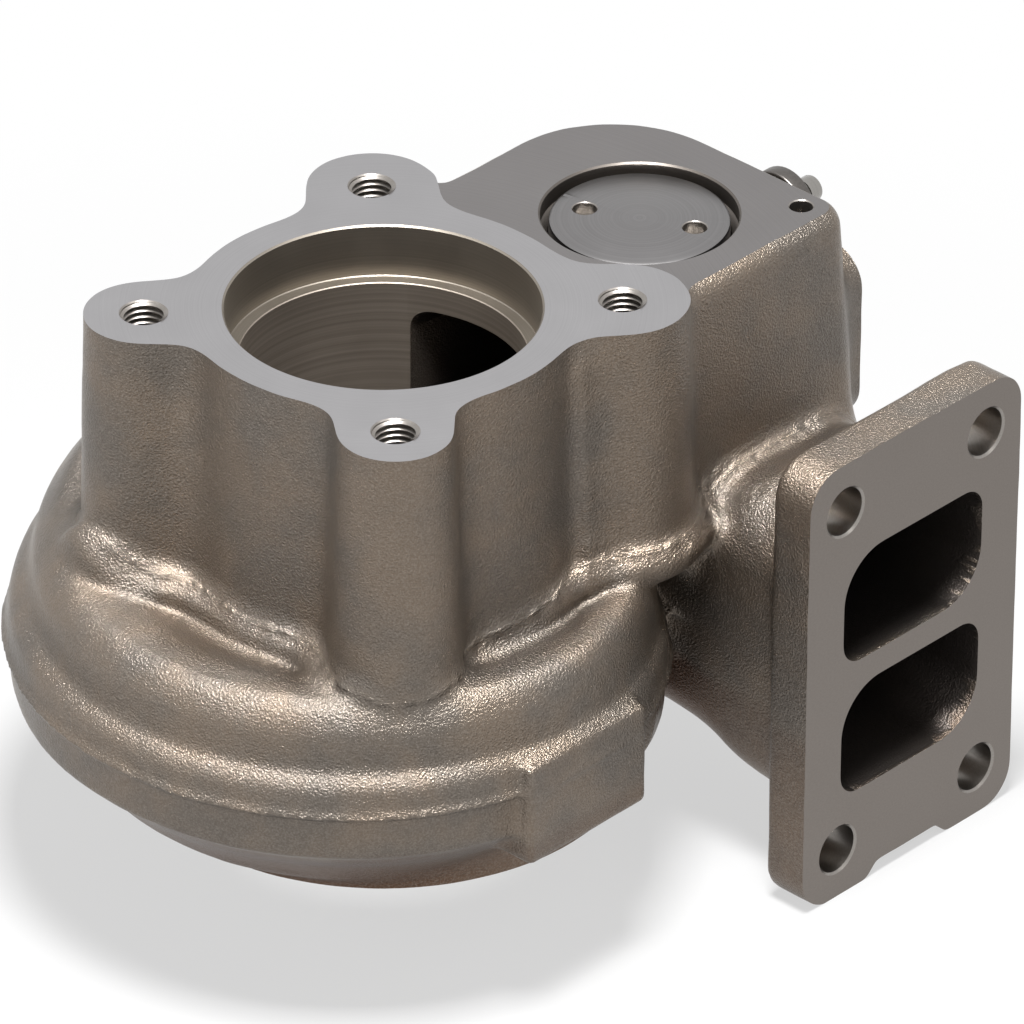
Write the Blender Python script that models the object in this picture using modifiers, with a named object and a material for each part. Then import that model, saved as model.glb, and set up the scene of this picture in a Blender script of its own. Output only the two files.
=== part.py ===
"""Turbine housing of a turbocharger, with a built-in wastegate.

One iron casting carries the outlet tower with four tapped ears, a two-part volute, a divided
inlet duct with its flange, and a wastegate block. The block's chamber is closed from above by a
round plug with two spanner holes. Inside it a flap on a crank shuts the bypass port, and the
crank's shaft runs out through a bush to a lever with a grooved pin.

The housing is drawn in turbine coordinates, with Z along the turbine axis and z = 0 on the
outlet face. An empty carries it, so that the world's origin lies in the middle of the inlet
flange's face, which is where the housing is bolted up. +X points out of that face.
"""
import bpy
import bmesh
from math import atan2, cos, hypot, pi, radians, sin, sqrt, tan
from mathutils import Vector

MM = 0.001

# Running and seating gap between pieces that touch on the real part
SEAT_GAP = 0.3 * MM

# Outlet tower: a round body with four tapped ears
OUTLET_BORE = 70.0 * MM
OUTLET_BORE_DEPTH = 13.0 * MM
THROAT_BORE = 64.0 * MM
BOLT_CIRCLE = 105.0 * MM
EAR_TWIST = 1.9
EAR_RADII = {45: 15.0 * MM, 135: 14.5 * MM, 225: 13.2 * MM, 315: 12.6 * MM}
EAR_BLEND = 13.0 * MM
TOWER_RADIUS = 43.6 * MM
TOWER_DEPTH = 62.0 * MM
TOWER_DRAFT = 1.5
TAP_DRILL = 8.5 * MM
TAP_DEPTH = 22.0 * MM
TAP_RIM = 10.8 * MM

# Volute: a spiral round the turbine axis, in two stacked scrolls
VOLUTE_START = 84.0
VOLUTE_END = 430.0
VOLUTE_START_RADIUS = 96.5 * MM
VOLUTE_END_RADIUS = 59.5 * MM
VOLUTE_CURL = 12.0 * MM
PARTING_Z = -85.5 * MM
BASE_Z = -115.6 * MM
BASE_RADIUS = 56.5 * MM
BASE_HEIGHT = 5.0 * MM
SHOULDER_Z = -61.0 * MM
SHOULDER_RISE = 12.0 * MM
BELLY_Z = -104.0 * MM
BELLY_DROP = 4.0 * MM
SLIM_FROM = 180.0
SLIM_TO = 255.0
WALL = 5.5 * MM

# The volute's roof, as (share of the way out, share of the way up), where it is wide and slim
FULL_ROOF = ((0.18, -1.0), (0.40, 0.88), (0.62, 0.96), (0.80, 0.75), (0.90, 0.46),
             (0.945, 0.36), (0.985, 0.26), (1.0, 0.0))
SLIM_ROOF = ((0.20, 0.87), (0.44, 0.99), (0.72, 0.985), (0.82, 0.87), (0.88, 0.65),
             (0.92, 0.38), (0.975, 0.18), (1.0, 0.0))
ROOF_FOOT = 0.63
FOOT_RISE = 3.0 * MM

# The volute's band and belly below the parting plane
BAND_INSET = 0.7 * MM
BAND_HEIGHT = 10.5 * MM
BELLY_INSET = 3.0 * MM
BELLY_START = 14.0 * MM
HAUNCH_INSET = 7.5 * MM
HAUNCH_RISE = 0.5 * MM
UNDERSIDE_INSET = 14.0 * MM
UNDERSIDE_DROP = 3.5 * MM

# Turbine wheel's space and the seat of the bearing housing
EXDUCER_BORE = 56.0 * MM
WHEEL_BORE = 72.0 * MM
THROAT_FLOOR_Z = -48.0 * MM
EXDUCER_TOP_Z = -63.0 * MM
SHROUD_TOP_Z = -70.0 * MM
SHROUD_KNEE_Z = -75.0 * MM
SHROUD_KNEE = 2.0 * MM
SLOT_TOP_Z = -79.0 * MM
SLOT_BOTTOM_Z = -96.0 * MM
BORE_EDGE = 0.7 * MM
DIVIDER_Z = -87.5 * MM
DIVIDER = 5.0 * MM
SPIGOT_BORE = 80.0 * MM
SPIGOT_DEPTH = 11.6 * MM
REGISTER_BORE = 92.0 * MM
REGISTER_DEPTH = 3.6 * MM

# Inlet flange and its two ports
FLANGE_FACE_X = 85.5 * MM
FLANGE_THICKNESS = 11.4 * MM
FLANGE_Y = 81.0 * MM
FLANGE_Z = -86.7 * MM
FLANGE_WIDTH = 70.0 * MM
FLANGE_HEIGHT = 114.0 * MM
FLANGE_CORNER = 9.0 * MM
FLANGE_BOLT_ACROSS = 46.6 * MM
FLANGE_BOLT_UP = 89.0 * MM
FLANGE_HOLE = 11.6 * MM
FLANGE_NOTCH_WIDTH = 20.0 * MM
FLANGE_NOTCH_DEPTH = 3.4 * MM
PORT_WIDTH = 46.0 * MM
PORT_HEIGHT = 28.2 * MM
PORT_DIVIDER = 6.7 * MM
PORT_ROUND = 12.5 * MM
PORT_TIGHT = 6.0 * MM

# Inlet duct, between the volute and the flange
DUCT_WALL = 6.5 * MM
DUCT_TOP_Z = -53.0 * MM
DUCT_BOTTOM_Z = -117.0 * MM
DUCT_INNER_Y = 50.0 * MM
DUCT_ROUND = 19.0 * MM
DUCT_NEAR_ROUND = 16.0 * MM
DUCT_MOUTH_X = 62.0 * MM
MOUTH_RISE = 2.0 * MM

# The duct's taper from the volute on: place along X, and how far its inner side, top and
# bottom draw in there and its outer side swells
DUCT_TAPER = (
    (-8.0 * MM, 10.0 * MM, 6.0 * MM, 4.0 * MM, 0.0),
    (18.0 * MM, 2.0 * MM, 2.0 * MM, 3.0 * MM, 5.0 * MM),
    (44.0 * MM, -2.0 * MM, 0.0, 0.0, 13.0 * MM),
)

# Gas passages: their ceiling drops under the duct, and each has a full outer side
THROAT_DROP = 4.0 * MM
THROAT_ROUND = 7.0 * MM
CORE_OVERLAP = 3.0 * MM
SHOULDER_SHARE = 0.16
HAUNCH_SHARE = 0.22
ROOF_ALLOWANCE = 1.0 * MM

# Wastegate block, its chamber and the plug that closes it
BLOCK_TOP_Z = -4.0 * MM
BLOCK_FRONT_X = 40.7 * MM
BLOCK_BACK_X = -34.0 * MM
BLOCK_SIDE_Y = 108.5 * MM
BLOCK_LOBE = 30.0 * MM
BLOCK_CORNER = 7.0 * MM
BLOCK_DEPTH = 68.0 * MM
BLOCK_DRAFT = 3.0
BLOCK_EDGE = 2.0 * MM
CHAMBER_X = 8.3 * MM
CHAMBER_Y = 73.6 * MM
CHAMBER_RADIUS = 22.0 * MM
CHAMBER_TOP_Z = -18.0 * MM
CHAMBER_FLOOR_Z = -48.0 * MM
CHAMBER_MOUTH = 36.6 * MM
PLUG_DIAMETER = 40.7 * MM
PLUG_THICKNESS = 7.4 * MM
PLUG_SINK = 1.3 * MM
PLUG_RELIEF = 44.6 * MM
PLUG_RELIEF_DEPTH = 4.2 * MM
SPANNER_HOLE = 5.5 * MM
SPANNER_SPACING = 25.8 * MM
SPANNER_DEPTH = 4.5 * MM
SPANNER_ANGLE = 25.0
WINDOW_HALF = 21.0 * MM
GATE_PORT = 22.0 * MM
DOWEL_HOLE = 5.3 * MM
DOWEL_X = 32.2 * MM
DOWEL_Y = 100.8 * MM
DOWEL_DEPTH = 12.0 * MM

# Wastegate shaft: its axis runs along Y through the boss on the block's side
SHAFT_X = 22.0 * MM
SHAFT_Z = -34.5 * MM
SHAFT_DIAMETER = 9.0 * MM
BUSH_OUTER = 14.0 * MM
BUSH_INNER_Y = 92.0 * MM
BOSS_WIDTH = 31.0 * MM
BOSS_ROUND = 9.0 * MM
BOSS_TOP_Z = -21.0 * MM
BOSS_BOTTOM_Z = -65.0 * MM
BOSS_FACE_Y = 116.0 * MM
BUSH_PROUD = 0.4 * MM
SHAFT_INNER_Y = 64.0 * MM
COLLAR_RADIUS = 6.0 * MM

# Flap on the crank
VALVE_DIAMETER = 30.0 * MM
VALVE_THICKNESS = 4.5 * MM
VALVE_X = CHAMBER_X - 2.3 * MM
VALVE_Y = CHAMBER_Y - 1.1 * MM
STEM_DIAMETER = 7.0 * MM
ARM_THICKNESS = 6.0 * MM
ARM_WIDTH = 13.0 * MM
WASHER_DIAMETER = 13.0 * MM
WASHER_THICKNESS = 2.0 * MM

# Lever outside the block
LEVER_THICKNESS = 4.0 * MM
LEVER_EYE = 8.6 * MM
LEVER_HUB = 10.0 * MM
LEVER_PIN_X = 10.5 * MM
LEVER_PIN_Z = -19.8 * MM
LEVER_PIN_DIAMETER = 6.4 * MM
LEVER_PIN_LENGTH = 12.5 * MM
LEVER_PIN_GROOVE = 1.0 * MM

# Cast pad on the lower volute
PAD_FACE_X = 69.4 * MM
PAD_Y = -7.0 * MM
PAD_TOP_Z = -78.0 * MM
PAD_WIDTH = 37.5 * MM
PAD_HEIGHT = 25.5 * MM
PAD_DEPTH = 26.0 * MM
PAD_EDGE = 2.0 * MM

# How finely round stretches are cut
BORE_STEPS = 64
ROUND_STEPS = 36
HOLE_STEPS = 16
TOWER_STEPS = 96
VOLUTE_STEP = 6.0
SCROLL_STEP = 12.0


def clear_scene():
    for thing in list(bpy.data.objects):
        bpy.data.objects.remove(thing, do_unlink=True)


def new_collection(name):
    group = bpy.data.collections.new(name)
    bpy.context.scene.collection.children.link(group)
    return group


def principled(name, colour, roughness, metallic):
    mat = bpy.data.materials.new(name)
    mat.use_nodes = True
    shader = mat.node_tree.nodes["Principled BSDF"]
    shader.inputs["Base Color"].default_value = (*colour, 1.0)
    shader.inputs["Roughness"].default_value = roughness
    shader.inputs["Metallic"].default_value = metallic
    return mat


def place(thing, group, parent, location=(0, 0, 0)):
    group.objects.link(thing)
    thing.parent = parent
    thing.location = location
    return thing


def hide_tool(thing):
    thing.hide_render = True
    thing.display_type = "WIRE"
    return thing


def finish(thing, material, smooth_angle=35):
    thing.data.materials.clear()
    thing.data.materials.append(material)
    thing.data.shade_smooth()
    thing.data.set_sharp_from_angle(angle=radians(smooth_angle))
    return thing


def boolean(target, tool, operation):
    step = target.modifiers.new(operation.lower() + "_" + tool.name, "BOOLEAN")
    step.object = tool
    step.operation = operation
    step.solver = "EXACT"
    return step


def loft(name, rings):
    """Closed body through rings of equally many points, capped at both ends."""
    bm = bmesh.new()
    layers = [[bm.verts.new(point) for point in ring] for ring in rings]
    for near, far in zip(layers, layers[1:]):
        for index in range(len(near)):
            after = (index + 1) % len(near)
            bm.faces.new((near[index], near[after], far[after], far[index]))
    bm.faces.new(list(reversed(layers[0])))
    bm.faces.new(layers[-1])
    bmesh.ops.recalc_face_normals(bm, faces=bm.faces)
    mesh = bpy.data.meshes.new(name)
    bm.to_mesh(mesh)
    bm.free()
    return bpy.data.objects.new(name, mesh)


def turned(name, profile, steps):
    """Body of revolution about Z. The profile runs down its outer side, from axis to axis."""
    bm = bmesh.new()
    points = [bm.verts.new((radius, 0, height)) for radius, height in profile]
    for one, other in zip(points, points[1:]):
        bm.edges.new((one, other))
    mesh = bpy.data.meshes.new(name)
    bm.to_mesh(mesh)
    bm.free()
    thing = bpy.data.objects.new(name, mesh)
    screw = thing.modifiers.new("turn", "SCREW")
    screw.steps = steps
    screw.render_steps = steps
    screw.use_merge_vertices = True
    screw.merge_threshold = 0.00001
    return thing


def plate(name, outline, thickness):
    """Flat plate with the given outline in XY, its middle at z = 0, as a mesh."""
    curve = bpy.data.curves.new(name + "_outline", "CURVE")
    curve.dimensions = "2D"
    curve.fill_mode = "BOTH"
    curve.extrude = thickness / 2
    spline = curve.splines.new("POLY")
    spline.points.add(len(outline) - 1)
    for point, (across, along) in zip(spline.points, outline):
        point.co = (across, along, 0, 1)
    spline.use_cyclic_u = True
    carrier = bpy.data.objects.new(name + "_outline", curve)
    bpy.context.scene.collection.objects.link(carrier)
    seen = carrier.evaluated_get(bpy.context.evaluated_depsgraph_get())
    mesh = bpy.data.meshes.new_from_object(seen)
    bpy.data.objects.remove(carrier, do_unlink=True)
    bm = bmesh.new()
    bm.from_mesh(mesh)
    bmesh.ops.remove_doubles(bm, verts=bm.verts, dist=0.00001)
    bmesh.ops.recalc_face_normals(bm, faces=bm.faces)
    bm.to_mesh(mesh)
    bm.free()
    return bpy.data.objects.new(name, mesh)


def rounded(corners, radii, steps):
    """Outline of a convex polygon whose corners are arcs, steps points to a corner."""
    outline = []
    count = len(corners)
    for index, (corner, radius) in enumerate(zip(corners, radii)):
        here = Vector(corner)
        before = (Vector(corners[index - 1]) - here).normalized()
        after = (Vector(corners[(index + 1) % count]) - here).normalized()
        half = before.angle(after) / 2
        reach = radius / tan(half)
        centre = here + (before + after).normalized() * radius / sin(half)
        first = here + before * reach - centre
        last = here + after * reach - centre
        turn = atan2(first.x * last.y - first.y * last.x, first.dot(last))
        for step in range(steps):
            angle = turn * step / (steps - 1)
            outline.append((centre.x + first.x * cos(angle) - first.y * sin(angle),
                            centre.y + first.x * sin(angle) + first.y * cos(angle)))
    return outline


def smooth_min(first, second, blend):
    overlap = max(blend - abs(first - second), 0) / blend
    return min(first, second) - overlap * overlap * blend / 4


def ear_places():
    for nominal, radius in EAR_RADII.items():
        angle = radians(nominal + EAR_TWIST)
        yield BOLT_CIRCLE / 2 * cos(angle), BOLT_CIRCLE / 2 * sin(angle), radius


def tower_radius(angle, grow):
    """How far the tower's outline lies from the axis: its body and ears, blended together."""
    inner, outer = TOWER_RADIUS / 2, BOLT_CIRCLE
    while outer - inner > 0.001 * MM:
        middle = (inner + outer) / 2
        across, along = middle * cos(angle), middle * sin(angle)
        distance = middle - TOWER_RADIUS - grow
        for ear_x, ear_y, radius in ear_places():
            to_ear = hypot(across - ear_x, along - ear_y) - radius - grow
            distance = smooth_min(distance, to_ear, EAR_BLEND)
        if distance < 0:
            inner = middle
        else:
            outer = middle
    return inner


def tower(group, parent):
    rings = []
    for share, flare in ((0.0, 0), (0.45, 0), (0.85, 0), (0.95, 0.6 * MM), (1.0, 1.8 * MM)):
        depth = TOWER_DEPTH * share
        grow = depth * tan(radians(TOWER_DRAFT)) + flare
        ring = []
        for step in range(TOWER_STEPS):
            angle = 2 * pi * step / TOWER_STEPS
            reach = tower_radius(angle, grow)
            ring.append((reach * cos(angle), reach * sin(angle), -depth))
        rings.append(ring)
    return place(loft("turbine_housing", rings), group, parent)


def volute_radius(angle):
    """Outer radius of the volute at the parting plane, in degrees from +X."""
    turn = (angle - VOLUTE_START) / (VOLUTE_END - VOLUTE_START)
    fall = VOLUTE_START_RADIUS - VOLUTE_END_RADIUS - VOLUTE_CURL
    return VOLUTE_START_RADIUS - fall * turn - VOLUTE_CURL * turn * turn


def catmull(points, per_span):
    """Smooth open line through the given points."""
    line = []
    ends = [points[0]] + list(points) + [points[-1]]
    for index in range(1, len(ends) - 2):
        before, start, end, after = ends[index - 1:index + 3]
        for step in range(per_span):
            t = step / per_span
            line.append(tuple(
                0.5 * (2 * b + (c - a) * t + (2 * a - 5 * b + 4 * c - d) * t * t
                       + (3 * b - a - 3 * c + d) * t ** 3)
                for a, b, c, d in zip(before, start, end, after)))
    line.append(tuple(points[-1]))
    return line


def ease(value, start, end):
    share = min(1, max(0, (value - start) / (end - start)))
    return share * share * (3 - 2 * share)


def scroll_heights(angle):
    """Top of the upper bulge and bottom of the lower one: both are fuller where it is widest."""
    slim = ease(angle, SLIM_FROM, SLIM_TO)
    return SHOULDER_Z + (1 - slim) * SHOULDER_RISE, BELLY_Z - (1 - slim) * BELLY_DROP


def volute_section(angle):
    """Outline of the volute in (radius, height): two bulges over a straight band and a belly."""
    outer = volute_radius(angle)
    foot = TOWER_RADIUS + 1.0 * MM
    spread = outer - foot
    slim = ease(angle, SLIM_FROM, SLIM_TO)
    crown, belly = scroll_heights(angle)
    upper = [(foot, crown + FOOT_RISE - (1 - slim) * SHOULDER_RISE)]
    for (full_out, full_up), (slim_out, slim_up) in zip(FULL_ROOF, SLIM_ROOF):
        out = full_out + (slim_out - full_out) * slim
        up = max(ROOF_FOOT, full_up) if full_up < 0 else full_up
        up += (slim_up - up) * slim
        upper.append((foot + out * spread, PARTING_Z + up * (crown - PARTING_Z)))
    lower = [
        (outer - BAND_INSET, PARTING_Z - BAND_HEIGHT),
        (outer - BELLY_INSET, PARTING_Z - BELLY_START),
        (outer - HAUNCH_INSET, belly + HAUNCH_RISE),
        (outer - UNDERSIDE_INSET, belly - UNDERSIDE_DROP),
        (BASE_RADIUS + 2 * MM, BASE_Z + 3.0 * MM),
        (BASE_RADIUS, BASE_Z + 1.5 * MM),
    ]
    core = WHEEL_BORE / 2 - 6 * MM
    return ([(core, SHOULDER_Z + 3 * MM)] + catmull(upper, 2) + catmull(lower, 2)
            + [(core, BASE_Z + 1.5 * MM)])


def volute(group, parent):
    rings = []
    count = round((VOLUTE_END - VOLUTE_START) / VOLUTE_STEP)
    for step in range(count + 1):
        angle = VOLUTE_START + (VOLUTE_END - VOLUTE_START) * step / count
        turn = radians(angle)
        rings.append([(r * cos(turn), r * sin(turn), z) for r, z in volute_section(angle)])
    return hide_tool(place(loft("volute_form", rings), group, parent))


def core(group, parent):
    body = WHEEL_BORE / 2 + WALL
    profile = [
        (0, -TOWER_DEPTH / 2), (body, -TOWER_DEPTH / 2),
        (body, BASE_Z + BASE_HEIGHT), (BASE_RADIUS, BASE_Z + BASE_HEIGHT),
        (BASE_RADIUS, BASE_Z + 0.8 * MM), (BASE_RADIUS - 0.8 * MM, BASE_Z), (0, BASE_Z),
    ]
    return hide_tool(place(turned("core_form", profile, BORE_STEPS), group, parent))


def block_outline(grow):
    back = BLOCK_BACK_X - grow
    front = BLOCK_FRONT_X + grow
    side = BLOCK_SIDE_Y + grow
    corners = [(back, 20 * MM), (front, 20 * MM), (front, side), (back, side)]
    radii = [2 * MM, 2 * MM, BLOCK_CORNER + grow, BLOCK_LOBE + grow]
    return rounded(corners, radii, 8)


def block(group, parent):
    slope = tan(radians(BLOCK_DRAFT))
    levels = [(0, -BLOCK_EDGE), (0.3 * BLOCK_EDGE, -0.3 * BLOCK_EDGE), (BLOCK_EDGE, 0),
              (BLOCK_DEPTH / 2, slope * BLOCK_DEPTH / 2), (BLOCK_DEPTH, slope * BLOCK_DEPTH)]
    rings = [[(x, y, BLOCK_TOP_Z - depth) for x, y in block_outline(grow)]
             for depth, grow in levels]
    return hide_tool(place(loft("block_form", rings), group, parent))


def boss(group, parent):
    """Upright boss on the block's side, which holds the shaft's bush."""
    root = BLOCK_SIDE_Y - 6 * MM
    half = BOSS_WIDTH / 2
    top, bottom = BOSS_TOP_Z - SHAFT_Z, BOSS_BOTTOM_Z - SHAFT_Z
    outline = rounded([(-half, bottom), (half, bottom), (half, top), (-half, top)],
                      [BOSS_ROUND] * 4, 6)
    middle = (root + BOSS_FACE_Y) / 2
    thing = place(plate("boss_form", outline, BOSS_FACE_Y - root), group, parent,
                  (SHAFT_X, middle, SHAFT_Z))
    thing.rotation_euler = (pi / 2, 0, 0)
    return hide_tool(thing)


def duct_stations():
    """Places along X with the duct's sides there (y from, y to, z top, z bottom)."""
    stations = [(x, DUCT_INNER_Y - inner, VOLUTE_START_RADIUS + swell, DUCT_TOP_Z - top,
                 DUCT_BOTTOM_Z + bottom) for x, inner, top, bottom, swell in DUCT_TAPER]
    neck = FLANGE_Y - PORT_WIDTH / 2 - DUCT_WALL
    far = FLANGE_Y + PORT_WIDTH / 2 + DUCT_WALL
    half = PORT_HEIGHT + PORT_DIVIDER / 2 + DUCT_WALL
    back = FLANGE_FACE_X - FLANGE_THICKNESS / 2
    stations.append((DUCT_MOUTH_X, neck, far, FLANGE_Z + half, FLANGE_Z - half + MOUTH_RISE))
    stations.append((back, neck, far, FLANGE_Z + half, FLANGE_Z - half))
    return stations


def duct(group, parent):
    rings = []
    radii = [PORT_TIGHT + DUCT_WALL, DUCT_ROUND, DUCT_ROUND, DUCT_NEAR_ROUND]
    for x, near, far, top, bottom in duct_stations():
        corners = [(near, bottom), (far, bottom), (far, top), (near, top)]
        outline = rounded(corners, radii, 6)
        rings.append([(x, y, z) for y, z in outline])
    return hide_tool(place(loft("duct_form", rings), group, parent))


def flange_outline():
    left, right = -FLANGE_WIDTH / 2, FLANGE_WIDTH / 2
    low, high = -FLANGE_HEIGHT / 2, FLANGE_HEIGHT / 2
    corners = [(left, low), (right, low), (right, high), (left, high)]
    outline = rounded(corners, [FLANGE_CORNER] * 4, 7)
    notch = FLANGE_NOTCH_WIDTH / 2
    ramp = FLANGE_NOTCH_DEPTH
    lip = [(-notch - ramp, low), (-notch, low + FLANGE_NOTCH_DEPTH),
           (notch, low + FLANGE_NOTCH_DEPTH), (notch + ramp, low)]
    return outline[:7] + lip + outline[7:]


def stand_on_flange(thing, group, parent, x):
    """Turns a plate drawn in XY so that its X is the flange's Y and its Y is the flange's Z."""
    place(thing, group, parent, (x, FLANGE_Y, FLANGE_Z))
    thing.rotation_euler = (pi / 2, 0, pi / 2)
    return hide_tool(thing)


def flange(group, parent):
    middle = FLANGE_FACE_X - FLANGE_THICKNESS / 2
    return stand_on_flange(plate("flange_form", flange_outline(), FLANGE_THICKNESS),
                           group, parent, middle)


def pad(group, parent):
    bm = bmesh.new()
    bmesh.ops.create_cube(bm, size=1.0)
    bmesh.ops.scale(bm, vec=(PAD_DEPTH, PAD_WIDTH, PAD_HEIGHT), verts=bm.verts)
    bmesh.ops.bevel(bm, geom=bm.edges[:], offset=PAD_EDGE, segments=2, profile=0.5,
                    affect="EDGES")
    mesh = bpy.data.meshes.new("pad_form")
    bm.to_mesh(mesh)
    bm.free()
    place_at = (PAD_FACE_X - PAD_DEPTH / 2, PAD_Y, PAD_TOP_Z - PAD_HEIGHT / 2)
    return hide_tool(place(bpy.data.objects.new("pad_form", mesh), group, parent, place_at))


def turbine_bore(group, parent):
    """Outlet bore, throat, exducer and wheel space down to the bearing housing's seat."""
    outlet = OUTLET_BORE / 2
    throat = THROAT_BORE / 2
    exducer = EXDUCER_BORE / 2
    wheel = WHEEL_BORE / 2
    beyond = 3 * MM
    profile = [
        (0, beyond), (outlet + beyond, beyond), (outlet + BORE_EDGE, 0), (outlet, -BORE_EDGE),
        (outlet, -OUTLET_BORE_DEPTH), (throat + BORE_EDGE, -OUTLET_BORE_DEPTH),
        (throat, -OUTLET_BORE_DEPTH - BORE_EDGE), (throat, THROAT_FLOOR_Z),
        (exducer, EXDUCER_TOP_Z), (exducer, SHROUD_TOP_Z), (exducer + SHROUD_KNEE, SHROUD_KNEE_Z),
        (wheel, SLOT_TOP_Z), (wheel, BASE_Z + SPIGOT_DEPTH),
        (SPIGOT_BORE / 2, BASE_Z + SPIGOT_DEPTH), (SPIGOT_BORE / 2, BASE_Z + REGISTER_DEPTH),
        (REGISTER_BORE / 2, BASE_Z + REGISTER_DEPTH), (REGISTER_BORE / 2, BASE_Z - beyond),
        (0, BASE_Z - beyond),
    ]
    return hide_tool(place(turned("turbine_bore", profile, BORE_STEPS), group, parent))


def port_section(upper):
    """Corners and corner radii of a port in the flange's face, in (y, z)."""
    near = FLANGE_Y - PORT_WIDTH / 2
    far = FLANGE_Y + PORT_WIDTH / 2
    if upper:
        low = FLANGE_Z + PORT_DIVIDER / 2
    else:
        low = FLANGE_Z - PORT_DIVIDER / 2 - PORT_HEIGHT
    corners = [(near, low), (far, low), (far, low + PORT_HEIGHT), (near, low + PORT_HEIGHT)]
    return corners, [PORT_TIGHT, PORT_ROUND, PORT_TIGHT, PORT_ROUND]


def scroll_section(upper, angle, opening):
    """Corners of a scroll in (radius, height). It narrows to a slot at the wheel's space."""
    outer = volute_radius(angle) - WALL
    wheel = WHEEL_BORE / 2
    inner = wheel - opening * CORE_OVERLAP + (1 - opening) * (DUCT_INNER_Y + WALL - wheel)
    crown, belly = scroll_heights(angle)
    if upper:
        slot_low, slot_high = DIVIDER_Z + DIVIDER / 2, SLOT_TOP_Z
        crown -= WALL + ROOF_ALLOWANCE + (1 - opening) * THROAT_DROP
        shoulder = outer - SHOULDER_SHARE * (outer - inner)
        low, high = slot_low, slot_high + (1 - opening) * (crown - slot_high)
        return [(inner, low), (outer - 2 * MM, low), (shoulder, crown), (inner, high)]
    slot_low, slot_high = SLOT_BOTTOM_Z, DIVIDER_Z - DIVIDER / 2
    belly += ROOF_ALLOWANCE
    low = slot_low + (1 - opening) * (belly - slot_low)
    haunch = outer - HAUNCH_SHARE * (outer - inner)
    return [(inner, low), (haunch, belly), (outer - 1 * MM, slot_high), (inner, slot_high)]


def scroll(upper, group, parent):
    """One gas passage, from its port in the flange round the wheel."""
    port, port_radii = port_section(upper)
    first, first_radii = scroll_section(upper, VOLUTE_START + 6, 0.0), [THROAT_ROUND] * 4
    rings = []
    entry = FLANGE_FACE_X + 2 * MM
    for share in (0.0, 0.16, 0.42, 0.7, 1.0):
        blend = share * share * (3 - 2 * share)
        corners = [((1 - blend) * a[0] + blend * b[0], (1 - blend) * a[1] + blend * b[1])
                   for a, b in zip(port, first)]
        radii = [(1 - blend) * a + blend * b for a, b in zip(port_radii, first_radii)]
        rings.append([(entry * (1 - share), y, z) for y, z in rounded(corners, radii, 4)])
    count = round((VOLUTE_END - 14 - 90) / SCROLL_STEP)
    for step in range(1, count + 1):
        angle = 90 + (VOLUTE_END - 14 - 90) * step / count
        opening = min(1.0, step / 3)
        turn = radians(angle)
        corners = scroll_section(upper, angle, opening)
        outline = rounded(corners, [1.2 * MM, 3 * MM, 3 * MM, 1.2 * MM], 4)
        rings.append([(r * cos(turn), r * sin(turn), z) for r, z in outline])
    name = "upper_scroll" if upper else "lower_scroll"
    return hide_tool(place(loft(name, rings), group, parent))


def chamber(group, parent):
    """Wastegate chamber under the plug, with the plug's seat above it."""
    top = BLOCK_TOP_Z
    relief = PLUG_RELIEF / 2
    seat = PLUG_DIAMETER / 2 + SEAT_GAP
    seat_z = top - PLUG_SINK - PLUG_THICKNESS - SEAT_GAP
    profile = [
        (0, top + 2 * MM), (relief + 1.2 * MM, top + 2 * MM), (relief + 0.6 * MM, top),
        (relief, top - 0.6 * MM), (relief, top - PLUG_RELIEF_DEPTH),
        (seat, top - PLUG_RELIEF_DEPTH - 1 * MM), (seat, seat_z),
        (CHAMBER_MOUTH / 2, seat_z), (CHAMBER_MOUTH / 2, CHAMBER_TOP_Z),
        (CHAMBER_RADIUS, CHAMBER_TOP_Z - 2 * MM), (CHAMBER_RADIUS, CHAMBER_FLOOR_Z + 2 * MM),
        (CHAMBER_RADIUS - 2 * MM, CHAMBER_FLOOR_Z), (0, CHAMBER_FLOOR_Z),
    ]
    return hide_tool(place(turned("chamber_space", profile, ROUND_STEPS), group, parent,
                           (CHAMBER_X, CHAMBER_Y, 0)))


def window(group, parent):
    """Way from the chamber into the outlet bore."""
    narrow = CHAMBER_RADIUS * 0.92
    outline = [(-WINDOW_HALF, 15 * MM), (WINDOW_HALF, 15 * MM),
               (CHAMBER_X + narrow, CHAMBER_Y), (CHAMBER_X - narrow, CHAMBER_Y)]
    top = CHAMBER_TOP_Z - 1 * MM
    height = top - CHAMBER_FLOOR_Z - 2 * MM
    thing = plate("window_space", outline, height)
    return hide_tool(place(thing, group, parent, (0, 0, top - height / 2)))


def drilled(name, diameter, depth, group, parent, location, rotation=(0, 0, 0), rim=None):
    """Blind or through hole, drilled down from its mouth, with an optional countersunk rim."""
    radius = diameter / 2
    beyond = 1 * MM
    mouth = radius if rim is None else rim / 2
    profile = [(0, beyond), (mouth + (beyond if rim else 0), beyond)]
    if rim:
        profile.append((radius, radius - mouth))
    profile += [(radius, -depth), (0, -depth - radius * tan(radians(31)))]
    thing = place(turned(name, profile, HOLE_STEPS), group, parent, location)
    thing.rotation_euler = rotation
    return hide_tool(thing)


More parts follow.
